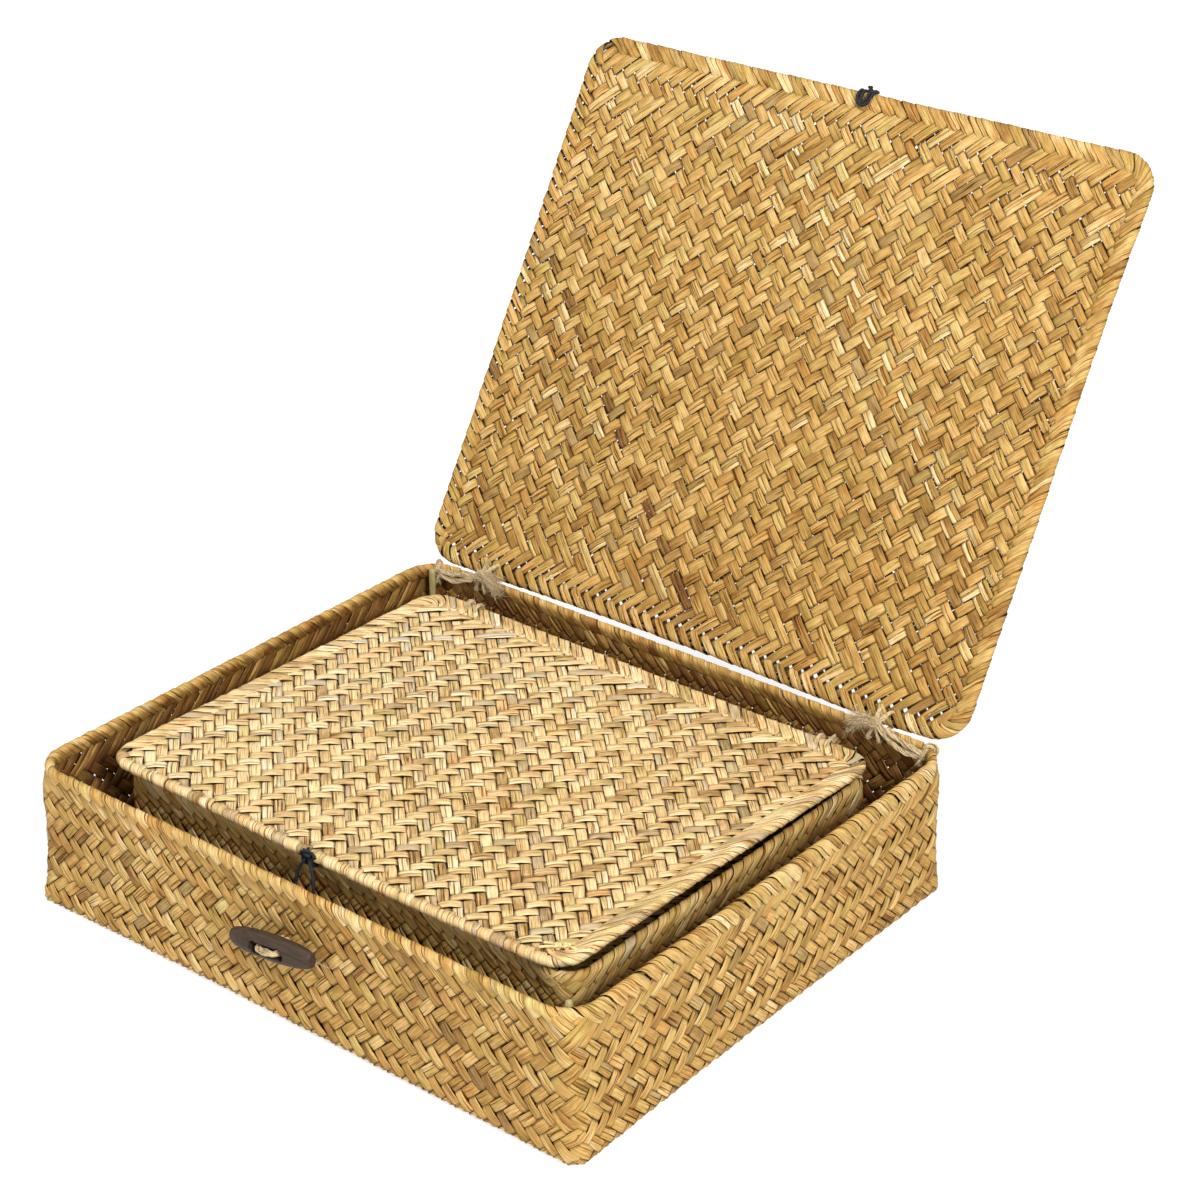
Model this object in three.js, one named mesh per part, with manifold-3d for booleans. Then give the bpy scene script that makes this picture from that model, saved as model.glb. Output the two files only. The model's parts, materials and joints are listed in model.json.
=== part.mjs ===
// A nesting pair of woven seagrass boxes with twine-hinged lids. The large one stands open and the small one,
// shut, lies inside it. Millimetres, +Z up. The origin is the middle of the large box's base, and the walls
// that carry the toggles face -Y.
import * as THREE from "three";
import { mergeVertices } from "three/addons/utils/BufferGeometryUtils.js";
import Module from "manifold-3d";

const wasm = await Module();
wasm.setup();

// Large box, measured over its hem
const BOX_WIDTH = 330;
const BOX_DEPTH = 280;
const BOX_HEIGHT = 76;
const RIM_CORNER_RADIUS = 20;
const BASE_CORNER_RADIUS = 4.5;
const LID_CORNER_RADIUS = 18;
const TIE_INSET = 41;
const ANCHOR_TURN_DEGREES = 32;

// Room left round the small box when it lies in the large one
const NEST_SIDE_GAP = 22;
const NEST_FRONT_GAP = 27;
const NEST_BACK_GAP = 19;
const NEST_HEADROOM = 2.6;
const SMALL_RIM_CORNER_RADIUS = 16;
const SMALL_BASE_CORNER_RADIUS = 4.5;
const SMALL_LID_CORNER_RADIUS = 15;
const SMALL_TIE_INSET = 28;
const SMALL_KNOT_SHIFT = -8;

// Woven sheet: two crossing layers of flattened stalk
const WALL = 2.2;
const WALL_TAPER = 1;
const WALL_WAIST = 0.6;
const BASE_FOLD = 1.5;

// Hem: the strips turn over a rod hoop and are tucked back down the inside
const HOOP_RADIUS = 1.2;
const HOOP_PLAY = 0.3;
const HOOP_END_GAP = 1;
const STRIP = 1;
const HEM_FLAP = 9;

// Lids
const LID_SIDE_OVERHANG = 4;
const LID_FRONT_OVERHANG = 11.5;
const SMALL_LID_SIDE_OVERHANG = 3;
const SMALL_LID_FRONT_OVERHANG = 8;
const LID_GAP = 0.4;
const LID_OPEN_DEGREES = 121;

// Corner stakes of split bamboo
const STAKE_RADIUS = 1.8;
const STAKE_TIP = 1;

// Jute twine of the hinge ties
const TWINE_RADIUS = 0.8;
const STITCH_PITCH = 6;
const TIE_KNOT_RADIUS = 2.4;
const TIE_TAIL = 13;

// Wooden toggle, its thicker twine and where it sits on the front wall
const TOGGLE_LENGTH = 50;
const TOGGLE_HEIGHT = 13;
const TOGGLE_DEPTH = 9.4;
const TOGGLE_END_HEIGHT = 7.5;
const TOGGLE_STANDOFF = 4;
const TOGGLE_HOLE_SPACING = 15;
const TOGGLE_HOLE_RADIUS = 2.4;
const TOGGLE_GROOVE = 1.6;
const TOGGLE_TWINE_RADIUS = 1.3;
const TOGGLE_TAIL = 24;
const TOGGLE_TILT_DEGREES = 8;
const TOGGLE_HEIGHT_SHARE = 0.6;

// Black cord loop on the lid's free edge
const CORD_RADIUS = 0.9;
const CORD_KNOT_RADIUS = 2.2;
const CORD_KNOT_LENGTH = 8.6;
const CORD_TAIL = 8;
const LOOP_DROP = 50;
const LOOP_HALF_WIDTH = 8.5;

// Gap kept where two pieces touch, and how far a cut runs past what it cuts
const SEAT = 0.3;
const OVERRUN = 1;

// Facets
const CORNER_STEPS = 5;
const HEM_STEPS = 6;
const CHANNEL_STEPS = 7;
const ROD_SIDES = 6;
const TWINE_SIDES = 5;
const CORD_SIDES = 8;

const HEM_CHANNEL = HOOP_RADIUS + HOOP_PLAY;
const HEM_RADIUS = HEM_CHANNEL + STRIP;
const HEM = 2 * HEM_RADIUS;
const OUTER_FACE = HEM_RADIUS - WALL / 2;
const INNER_FACE = HEM_RADIUS + WALL / 2;

const radians = THREE.MathUtils.degToRad;
const mix = THREE.MathUtils.lerp;
const at = (x, y, z) => new THREE.Vector3(x, y, z);

function finish(color, roughness) {
  return new THREE.MeshStandardMaterial({ color, roughness, metalness: 0 });
}

const WEAVE = finish(0xb48a45, 0.7);
const ROD = finish(0xa08a4a, 0.6);
const TWINE = finish(0xcdb88c, 0.9);
const WOOD = finish(0x4a3a33, 0.5);
const CORD = finish(0x17171a, 0.6);

// Solids

function solid(geometry) {
  const bare = geometry.clone();
  bare.deleteAttribute("normal");
  bare.deleteAttribute("uv");
  const merged = mergeVertices(bare, 1e-4);
  return new wasm.Manifold(
    new wasm.Mesh({
      numProp: 3,
      vertProperties: merged.attributes.position.array,
      triVerts: new Uint32Array(merged.index.array),
    }),
  );
}

function geometryOf(manifold) {
  const mesh = manifold.getMesh();
  const geometry = new THREE.BufferGeometry();
  geometry.setAttribute("position", new THREE.BufferAttribute(mesh.vertProperties, 3));
  geometry.setIndex(new THREE.BufferAttribute(mesh.triVerts, 1));
  geometry.computeVertexNormals();
  return geometry;
}

const join = (first, ...others) => geometryOf(others.reduce((a, b) => a.add(solid(b)), solid(first)));
const cut = (body, ...tools) => geometryOf(tools.reduce((a, b) => a.subtract(solid(b)), solid(body)));

// Skins a list of rings, each with the same number of points and anticlockwise seen from the end it leads to.
// Both ends are closed by a fan round the middle of the end ring.
function loft(rings) {
  const count = rings[0].length;
  const middle = (ring) => ring.reduce((sum, p) => sum.add(p), at(0, 0, 0)).divideScalar(count);
  const points = [...rings.flat(), middle(rings[0]), middle(rings.at(-1))];
  const [start, end] = [points.length - 2, points.length - 1];
  const faces = [];
  for (let i = 0; i < count; i++) {
    const next = (i + 1) % count;
    faces.push(start, next, i);
    faces.push(end, start - count + i, start - count + next);
    for (let r = 0; r < rings.length - 1; r++) {
      const [low, high] = [r * count, (r + 1) * count];
      faces.push(low + i, low + next, high + next);
      faces.push(low + i, high + next, high + i);
    }
  }
  return new THREE.BufferGeometry().setFromPoints(points).setIndex(faces);
}

// Rounded rectangle from the middle of its back side, anticlockwise seen from above.
function outline(halfX, halfY, radius) {
  const points = [new THREE.Vector2(0, halfY)];
  const corners = [[-1, 1], [-1, -1], [1, -1], [1, 1]];
  corners.forEach(([sideX, sideY], quarter) => {
    for (let step = 0; step <= CORNER_STEPS; step++) {
      const turn = (Math.PI / 2) * (quarter + 1 + step / CORNER_STEPS);
      const x = sideX * (halfX - radius) + radius * Math.cos(turn);
      const y = sideY * (halfY - radius) + radius * Math.sin(turn);
      points.push(new THREE.Vector2(x, y));
    }
  });
  return points;
}

const raise = (flat, z) => flat.map((p) => at(p.x, p.y, z));

// Round rod with butt ends, bent along a flat path.
function rod(path, radius) {
  const up = at(0, 0, 1);
  const rings = path.map((point, i) => {
    const ahead = path[Math.min(i + 1, path.length - 1)];
    const behind = path[Math.max(i - 1, 0)];
    const along = ahead.clone().sub(behind).normalize();
    const side = up.clone().cross(along);
    return Array.from({ length: ROD_SIDES }, (_, k) => {
      const turn = (2 * Math.PI * k) / ROD_SIDES;
      return point
        .clone()
        .addScaledVector(side, radius * Math.cos(turn))
        .addScaledVector(up, radius * Math.sin(turn));
    });
  });
  return loft(rings);
}

// Tube along a smooth curve through the given points.
function tube(points, radius, sides, steps) {
  const section = new THREE.Shape(
    Array.from({ length: sides }, (_, k) => {
      const turn = (2 * Math.PI * k) / sides;
      return new THREE.Vector2(radius * Math.cos(turn), radius * Math.sin(turn));
    }),
  );
  const extrudePath = new THREE.CatmullRomCurve3(points, false, "centripetal");
  return new THREE.ExtrudeGeometry(section, { steps, extrudePath, bevelEnabled: false });
}

function lump(center, radius, stretch) {
  const geometry = new THREE.IcosahedronGeometry(radius, 1);
  geometry.scale(stretch, 1, 1);
  return geometry.translate(center.x, center.y, center.z);
}

// Hem section

// Points of the folded hem round its rod. Each holds how far it lies along the sheet, away from the crest, and
// across it, towards the tucked side, both from the rod's axis. They run from the plain face over the crest,
// down the tucked strips, back up and round the rod's channel to the tucked side of the sheet.
function hemSection() {
  const arc = (radius, from, to, steps) =>
    Array.from({ length: steps + 1 }, (_, i) => {
      const turn = mix(from, to, i / steps);
      return { along: radius * Math.cos(turn), across: radius * Math.sin(turn) };
    });
  const half = WALL / 2;
  const plain = -Math.asin(half / HEM_RADIUS);
  const tucked = Math.asin(Math.min(half / HEM_CHANNEL, 0.9));
  return [
    ...arc(HEM_RADIUS, plain, -1.5 * Math.PI, HEM_STEPS),
    { along: HEM_FLAP, across: HEM_RADIUS },
    { along: HEM_FLAP, across: HEM_CHANNEL },
    ...arc(HEM_CHANNEL, -1.5 * Math.PI, tucked, CHANNEL_STEPS),
  ];
}

// One box in its own frame, with the origin at the middle of its base

// How far the walls stand in from the hem's outline at a height: they lean in and bow in a little.
function lean(box, z) {
  const share = z / box.height;
  return WALL_TAPER * (1 - share) + WALL_WAIST * 4 * share * (1 - share);
}

function level(box, inset, z) {
  const depth = inset + lean(box, z);
  const radius = mix(box.baseCorner, box.rimCorner, z / box.height) - inset;
  return raise(outline(box.width / 2 - depth, box.depth / 2 - depth, radius), z);
}

function basket(box) {
  const axis = box.height - HEM_RADIUS;
  const section = hemSection();
  const low = axis - section[0].along;
  const inside = axis - section.at(-1).along;
  const wallShares = [0.25, 0.5, 0.75];
  return loft([
    level(box, OUTER_FACE + BASE_FOLD, 0),
    ...[0, ...wallShares].map((share) => level(box, OUTER_FACE, mix(BASE_FOLD, low, share))),
    ...section.map((p) => level(box, HEM_RADIUS + p.across, axis - p.along)),
    ...[...wallShares].reverse().map((share) => level(box, INNER_FACE, mix(WALL, inside, share))),
    level(box, INNER_FACE, WALL),
  ]);
}

function rimHoop(box) {
  const z = box.height - HEM_RADIUS;
  const ring = level(box, HEM_RADIUS, z);
  return rod(openAtBack(ring), HOOP_RADIUS);
}

// The hoop's ends meet at the middle of the back.
function openAtBack(ring) {
  const [middle, ...rest] = ring;
  const apart = at(HOOP_END_GAP / 2, 0, 0);
  return [middle.clone().sub(apart), ...rest, middle.clone().add(apart)];
}

// A stake stands on the base in a corner and leans on the wall below and on the hem above.
function stake(box, sideX, sideY) {
  const place = (inset, z) => {
    const depth = inset + STAKE_RADIUS + 2 * SEAT;
    const radius = Math.max(mix(box.baseCorner, box.rimCorner, z / box.height) - depth, 0);
    const edge = depth + WALL_WAIST + lean(box, z) + radius * (1 - Math.SQRT1_2);
    return at(sideX * (box.width / 2 - edge), sideY * (box.depth / 2 - edge), z);
  };
  const foot = place(INNER_FACE, WALL + 2 * SEAT);
  const head = place(HEM, box.height - SEAT);
  const length = foot.distanceTo(head);
  const profile = [
    [0, 0],
    [STAKE_RADIUS, 0],
    [STAKE_RADIUS, length - STAKE_TIP],
    [STAKE_RADIUS / 2, length],
    [0, length],
  ].map(([x, y]) => new THREE.Vector2(x, y));
  const geometry = new THREE.LatheGeometry(profile, 8);
  geometry.applyQuaternion(new THREE.Quaternion().setFromUnitVectors(at(0, 1, 0), head.sub(foot).normalize()));
  return geometry.translate(foot.x, foot.y, foot.z);
}

// Lid

// In the lid's frame the origin is its hinge line, and the lid lies shut along -Y with its inner face down.
const LID_AXIS = LID_GAP / 2 + HEM_RADIUS;

function lidLevel(box, inset, z) {
  const half = box.width / 2 + box.sideOverhang - inset;
  const length = box.depth + box.frontOverhang;
  const ring = raise(outline(half, length / 2 - inset, box.lidCorner - inset), z);
  return ring.map((p) => p.sub(at(0, length / 2, 0)));
}

function lidPanel(box) {
  const section = hemSection().reverse();
  const panel = HEM_RADIUS + HEM_FLAP + BASE_FOLD;
  return loft([
    lidLevel(box, panel, LID_AXIS - WALL / 2),
    ...section.map((p) => lidLevel(box, HEM_RADIUS + p.along, LID_AXIS - p.across)),
    lidLevel(box, panel, LID_AXIS + WALL / 2),
  ]);
}

const lidHoop = (box) => rod(openAtBack(lidLevel(box, HEM_RADIUS, LID_AXIS)), HOOP_RADIUS);

// Twine hinge tie

// A tie in the box's frame: two stitches round both hems, a knot on the inside, two tails, and on the large box
// a doubled run to a turn round the rim near the corner. Grown by a clearance, its strands cut their own holes.
function tieStrands(box, side, grow) {
  const radius = TWINE_RADIUS + grow;
  const reach = HEM_RADIUS + SEAT + TWINE_RADIUS;
  const angle = radians(box.openDegrees);
  const rim = at(0, box.depth / 2 - HEM_RADIUS, box.height - HEM_RADIUS);
  const lid = at(0, -HEM_RADIUS, LID_AXIS).applyAxisAngle(at(1, 0, 0), -angle).add(hingeLine(box));
  const alongLid = at(0, -1, 0).applyAxisAngle(at(1, 0, 0), -angle);
  const insideLid = at(0, 0, -1).applyAxisAngle(at(1, 0, 0), -angle);
  const x = side * (box.width / 2 - box.tieInset);
  const knot = tieKnot(box, side);
  const from = (center, vector, px) => center.clone().add(vector).setX(px);
  const stitches = [-0.5, 0.5].map((share) => {
    const px = x + share * STITCH_PITCH;
    const through = alongLid.clone().multiplyScalar(reach);
    return tube(
      [
        knot,
        from(lid, through.clone().addScaledVector(insideLid, reach), px),
        from(lid, through, px),
        from(lid, through.clone().multiplyScalar(0.8).addScaledVector(insideLid, -reach), px),
        from(lid, insideLid.clone().multiplyScalar(-reach).addScaledVector(alongLid, -reach / 2), px),
        from(rim, at(0, reach, 0), px),
        from(rim, at(0, reach * 0.8, -reach), px),
        from(rim, at(0, 0, -reach), px),
        from(rim, at(0, -reach, -reach), px),
        from(rim, at(0, -reach * 1.2, -reach / 2), px),
        knot,
      ],
      radius,
      TWINE_SIDES,
      20,
    );
  });
  const out = at(0, 1, 0).applyAxisAngle(at(0, 0, 1), -side * radians(ANCHOR_TURN_DEGREES));
  const corner = at(side * (box.width / 2 - box.rimCorner), box.depth / 2 - box.rimCorner, rim.z);
  const anchorAxis = corner.addScaledVector(out, box.rimCorner - HEM_RADIUS);
  const round = [170, 120, 70, 20, -30, -90, -150].map((degrees) => {
    const turn = radians(degrees);
    const place = anchorAxis.clone().addScaledVector(out, reach * Math.cos(turn));
    return place.add(at(0, 0, reach * Math.sin(turn)));
  });
  const run = at((anchorAxis.x + x) / 2, rim.y - reach * 1.3, rim.z + reach / 2);
  const anchor = [knot, run, ...round, run.clone().sub(at(0, reach / 4, reach)), knot];
  return box.anchored ? [...stitches, tube(anchor, radius, TWINE_SIDES, 30)] : stitches;
}

function hingeLine(box) {
  return at(0, box.depth / 2, box.height + LID_GAP / 2);
}

// The knot hangs free of both hems, inside the box: above the rim when the lid stands open, below it when shut.
function tieKnot(box, side) {
  const turn = radians(box.openDegrees > 0 ? 122 : 188);
  const reach = HEM_RADIUS + SEAT + TIE_KNOT_RADIUS * 1.4;
  const x = side * (box.width / 2 - box.tieInset);
  const rim = at(x, box.depth / 2 - HEM_RADIUS, box.height - HEM_RADIUS);
  return rim.add(at(0, reach * Math.cos(turn), reach * Math.sin(turn)));
}

function hingeTie(box, side) {
  const knot = tieKnot(box, side);
  const tail = (dx, dy, dz) =>
    tube(
      [knot, knot.clone().add(at(dx / 2, dy, dz / 4)), knot.clone().add(at(dx, dy, dz))],
      TWINE_RADIUS,
      TWINE_SIDES,
      4,
    );
  const inward = -side * TIE_TAIL;
  return join(
    lump(knot, TIE_KNOT_RADIUS, 1.5),
    ...tieStrands(box, side, 0),
    tail(inward, -TIE_KNOT_RADIUS / 2, -TIE_TAIL / 2),
    tail(-inward / 2, -TIE_KNOT_RADIUS, -TIE_TAIL * 0.8),
  );
}

// Toggle

const toggleZ = (box) => box.height * TOGGLE_HEIGHT_SHARE;

// The front wall's plain face at the toggle's height.
function frontFace(box) {
  return -(box.depth / 2 - OUTER_FACE - lean(box, toggleZ(box)));
}

// Turned spindle, flattened, with a groove and two holes for its twine. Its back is at y = 0 and its face at -Y.
function toggle() {
  const half = TOGGLE_LENGTH / 2;
  const barrelShares = [[0.94, 1.12], [0.6, 1.55], [0, 1.733]];
  const low = TOGGLE_END_HEIGHT / 2;
  const side = barrelShares.map(([along, wide]) => new THREE.Vector2(low * wide, half * along));
  side.at(-1).x = TOGGLE_HEIGHT / 2;
  const tip = [new THREE.Vector2(0, half), new THREE.Vector2(low * 0.85, half)];
  const upper = [...tip, ...side];
  const lower = upper.slice(0, -1).reverse().map((p) => new THREE.Vector2(p.x, -p.y));
  const body = new THREE.LatheGeometry([...upper, ...lower].reverse(), 14);
  body.rotateZ(-Math.PI / 2);
  body.scale(1, TOGGLE_DEPTH / TOGGLE_HEIGHT, 1);
  body.translate(0, -TOGGLE_DEPTH / 2, 0);
  const holes = [-1, 1].map((way) => {
    const hole = new THREE.CylinderGeometry(TOGGLE_HOLE_RADIUS, TOGGLE_HOLE_RADIUS, TOGGLE_DEPTH + OVERRUN * 2, 10);
    return hole.translate((way * TOGGLE_HOLE_SPACING) / 2, -TOGGLE_DEPTH / 2, 0);
  });
  const groove = new THREE.BoxGeometry(TOGGLE_HOLE_SPACING, TOGGLE_GROOVE + OVERRUN, 2 * TOGGLE_HOLE_RADIUS);
  groove.translate(0, -TOGGLE_DEPTH + (TOGGLE_GROOVE - OVERRUN) / 2, 0);
  return cut(body, ...holes, groove);
}

// Twine from a knot inside the wall, out through one hole, through the toggle and back. Its origin is the
// toggle's middle at its back, and the wall's plain face is at +standoff.
function toggleTwine() {
  const inside = TOGGLE_STANDOFF + WALL + SEAT + TIE_KNOT_RADIUS;
  const near = TOGGLE_TWINE_RADIUS + SEAT / 2;
  const far = TOGGLE_HOLE_SPACING / 2;
  const front = -TOGGLE_DEPTH + TOGGLE_GROOVE - TOGGLE_TWINE_RADIUS - SEAT;
  const leg = (way) => [
    at(way * near, inside, 0),
    at(way * near, TOGGLE_STANDOFF + WALL, 0),
    at(way * near, TOGGLE_STANDOFF * 0.7, 0),
    at(way * far, 0, 0),
    at(way * far, -TOGGLE_DEPTH / 2, 0),
    at(way * far * 0.93, -TOGGLE_DEPTH + TOGGLE_GROOVE / 2, 0),
  ];
  const bridge = [at(-far / 2, front, 0), at(far / 2, front, 0)];
  const strand = tube([...leg(-1), ...bridge, ...leg(1).reverse()], TOGGLE_TWINE_RADIUS, TWINE_SIDES, 32);
  const knot = at(0, inside + TIE_KNOT_RADIUS / 2, 0);
  const tail = tube(
    [knot, knot.clone().add(at(0, TIE_KNOT_RADIUS, TOGGLE_TAIL / 2)), knot.clone().add(at(1, 0, TOGGLE_TAIL))],
    TWINE_RADIUS,
    TWINE_SIDES,
    6,
  );
  return join(strand, lump(knot, TIE_KNOT_RADIUS * 1.25, 1.4), tail);
}

function twineHole() {
  const radius = 2 * TOGGLE_TWINE_RADIUS + SEAT / 2 + SEAT;
  return new THREE.CylinderGeometry(radius, radius, WALL + 2 * OVERRUN, 12);
}

// Cord loop

// The knot sits on the hem's outer top corner at the lid's free edge, in the lid's frame.
function cordKnotPlace(box) {
  const reach = (HEM_RADIUS + SEAT + CORD_KNOT_RADIUS) * Math.SQRT1_2;
  return lidFreeAxis(box).add(at(0, -reach, reach));
}

function lidFreeAxis(box) {
  return at(box.knotShift, -(box.depth + box.frontOverhang) + HEM_RADIUS, LID_AXIS);
}

// One turn of cord round the lid's hem, through the weave behind the hoop.
function cordTurn(box, grow) {
  const axis = lidFreeAxis(box);
  const reach = HEM_RADIUS + SEAT + CORD_RADIUS;
  const slipShares = [1, 1, 1, 0.8, 0, -0.8, -1, -1, -1];
  const edge = CORD_KNOT_LENGTH / 2 - CORD_RADIUS - SEAT / 2;
  const places = slipShares.map((share, i) => {
    const turn = radians(mix(135, 490, i / (slipShares.length - 1)));
    return axis.clone().add(at(share * edge, reach * Math.cos(turn), reach * Math.sin(turn)));
  });
  return tube(places, CORD_RADIUS + grow, TWINE_SIDES, 16);
}

function cordKnot(box) {
  const place = cordKnotPlace(box);
  const edge = CORD_KNOT_LENGTH / 2 - CORD_RADIUS;
  const barrel = new THREE.CylinderGeometry(CORD_KNOT_RADIUS, CORD_KNOT_RADIUS, CORD_KNOT_LENGTH, 10);
  barrel.rotateZ(Math.PI / 2).translate(place.x, place.y, place.z);
  const tail = (way) =>
    tube(
      [
        place.clone().add(at(way * edge, 0, 0)),
        place.clone().add(at(way * edge * 1.2, -CORD_TAIL / 2, CORD_TAIL / 4)),
        place.clone().add(at(way * edge * 1.8, -CORD_TAIL, CORD_TAIL / 8)),
      ],
      CORD_RADIUS,
      TWINE_SIDES,
      4,
    );
  return join(barrel, cordTurn(box, 0), tail(-1), tail(1));
}

// The loop in its own frame: the origin is the knot's axis, it hangs along -Z, and sets in by the bend, so
// that its end lies behind the toggle.
function cordLoop(bend) {
  const start = CORD_KNOT_RADIUS + SEAT;
  const clear = 2 * HEM_RADIUS + CORD_KNOT_RADIUS;
  const middle = LOOP_DROP - LOOP_HALF_WIDTH - CORD_RADIUS;
  const dropShares = [0, 0.12, 0.3, 0.5, 0.7, 0.85];
  const side = dropShares.map((share) => {
    const drop = mix(start, middle, share);
    const swell = THREE.MathUtils.smoothstep(share, 0, 1);
    const inward = bend * THREE.MathUtils.smoothstep(drop, clear, middle * 0.8);
    return at(mix(CORD_RADIUS * 1.3, LOOP_HALF_WIDTH, swell), inward, -drop);
  });
  const bottom = [0, 30, 60, 90].map((degrees) => {
    const turn = radians(degrees);
    return at(LOOP_HALF_WIDTH * Math.cos(turn), bend, -middle - LOOP_HALF_WIDTH * Math.sin(turn));
  });
  const right = [...side, ...bottom];
  const left = right.slice(0, -1).reverse().map((p) => at(-p.x, p.y, p.z));
  return tube([...right, ...left], CORD_RADIUS, CORD_SIDES, 24);
}

// How far a loop's middle lies off the line straight down from its knot: hanging free, it swings back by this.
function hangAngle(geometry) {
  const { array, count } = geometry.attributes.position;
  const sum = (offset) => array.reduce((total, value, i) => total + (i % 3 === offset ? value : 0), 0) / count;
  return Math.atan2(sum(1), -sum(2));
}

// Assembly

function named(name, geometry, material) {
  const mesh = new THREE.Mesh(geometry, material);
  mesh.name = name;
  return mesh;
}

function makeBox(prefix, box) {
  const group = new THREE.Group();
  const ties = [["left", -1], ["right", 1]];
  const strands = ties.flatMap(([, side]) => tieStrands(box, side, SEAT));
  const hole = twineHole().translate(0, frontFace(box) + WALL / 2, toggleZ(box));
  group.add(named(prefix + "_basket", cut(basket(box), hole, ...strands), WEAVE));
  group.add(named(prefix + "_rim_hoop", rimHoop(box), ROD));
  for (const [end, sideY] of [["front", -1], ["back", 1]])
    for (const [hand, sideX] of [["left", -1], ["right", 1]])
      group.add(named(prefix + "_corner_stake_" + end + "_" + hand, stake(box, sideX, sideY), ROD));
  for (const [hand, side] of ties)
    group.add(named(prefix + "_hinge_tie_" + hand, hingeTie(box, side), TWINE));

  const lid = new THREE.Group();
  lid.position.copy(hingeLine(box));
  lid.rotation.x = -radians(box.openDegrees);
  lid.updateMatrix();
  const toLid = lid.matrix.clone().invert();
  const lidHoles = strands.map((strand) => strand.clone().applyMatrix4(toLid));
  lid.add(named(prefix + "_lid", cut(lidPanel(box), cordTurn(box, SEAT), ...lidHoles), WEAVE));
  lid.add(named(prefix + "_lid_hoop", lidHoop(box), ROD));
  lid.add(named(prefix + "_loop_knot", cordKnot(box), CORD));
  const loop = named(prefix + "_loop", cordLoop(box.loopBend), CORD);
  loop.position.copy(cordKnotPlace(box));
  loop.rotation.x = radians(box.openDegrees - box.loopOutDegrees) - hangAngle(loop.geometry);
  lid.add(loop);
  group.add(lid);

  const fastener = new THREE.Group();
  fastener.position.set(0, frontFace(box) - TOGGLE_STANDOFF, toggleZ(box));
  fastener.rotation.y = -radians(TOGGLE_TILT_DEGREES);
  fastener.add(named(prefix + "_toggle", toggle(), WOOD));
  fastener.add(named(prefix + "_toggle_twine", toggleTwine(), TWINE));
  group.add(fastener);
  return group;
}

const large = {
  width: BOX_WIDTH,
  depth: BOX_DEPTH,
  height: BOX_HEIGHT,
  rimCorner: RIM_CORNER_RADIUS,
  baseCorner: BASE_CORNER_RADIUS,
  lidCorner: LID_CORNER_RADIUS,
  sideOverhang: LID_SIDE_OVERHANG,
  frontOverhang: LID_FRONT_OVERHANG,
  tieInset: TIE_INSET,
  anchored: true,
  knotShift: 0,
  openDegrees: LID_OPEN_DEGREES,
  loopOutDegrees: 0,
};
// Fastened, the loop sets in from the knot to the gap between the wall and the toggle.
large.loopBend = frontFace(large) - TOGGLE_STANDOFF / 2 - (large.depth / 2 + cordKnotPlace(large).y);

const small = {
  width: BOX_WIDTH - 2 * (HEM + NEST_SIDE_GAP),
  depth: BOX_DEPTH - 2 * HEM - NEST_FRONT_GAP - NEST_BACK_GAP,
  height: BOX_HEIGHT - NEST_HEADROOM - HEM - LID_GAP - WALL - SEAT,
  rimCorner: SMALL_RIM_CORNER_RADIUS,
  baseCorner: SMALL_BASE_CORNER_RADIUS,
  lidCorner: SMALL_LID_CORNER_RADIUS,
  sideOverhang: SMALL_LID_SIDE_OVERHANG,
  frontOverhang: SMALL_LID_FRONT_OVERHANG,
  tieInset: SMALL_TIE_INSET,
  anchored: false,
  knotShift: SMALL_KNOT_SHIFT,
  openDegrees: 0,
  loopBend: 0,
};
// Unfastened, the loop hangs over the toggle's face.
const twineProud = TOGGLE_TWINE_RADIUS + SEAT;
const toggleFace = frontFace(small) - TOGGLE_STANDOFF - TOGGLE_DEPTH - twineProud - SEAT - CORD_RADIUS;
const knotAbove = small.height + LID_GAP / 2 + cordKnotPlace(small).z - toggleZ(small);
small.loopOutDegrees = THREE.MathUtils.radToDeg(
  Math.atan2(small.depth / 2 + cordKnotPlace(small).y - toggleFace, knotAbove),
);

const model = new THREE.Group();
model.add(makeBox("outer", large));
const nested = makeBox("inner", small);
nested.position.set(0, (NEST_FRONT_GAP - NEST_BACK_GAP) / 2, WALL + SEAT);
model.add(nested);

export default model;
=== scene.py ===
"""The looks of a nesting pair of woven seagrass boxes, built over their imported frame.

Lengths are in millimetres while a shape is worked out and in metres in Blender. Each woven sheet is laid out
flat in a chart of two coordinates, u round the box or along X and v up or along Y, and then put in place.
"""
import json
import math
from types import SimpleNamespace

import bpy
import numpy as np
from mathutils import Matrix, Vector


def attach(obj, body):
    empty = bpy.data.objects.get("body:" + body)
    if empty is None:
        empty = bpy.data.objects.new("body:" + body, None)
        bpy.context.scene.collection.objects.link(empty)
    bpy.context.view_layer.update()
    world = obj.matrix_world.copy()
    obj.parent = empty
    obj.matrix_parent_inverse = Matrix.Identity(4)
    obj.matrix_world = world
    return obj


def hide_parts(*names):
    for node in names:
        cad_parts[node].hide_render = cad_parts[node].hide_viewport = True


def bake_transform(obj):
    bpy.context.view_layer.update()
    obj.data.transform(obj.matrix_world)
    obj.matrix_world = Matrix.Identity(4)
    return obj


MM = 0.001

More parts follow.
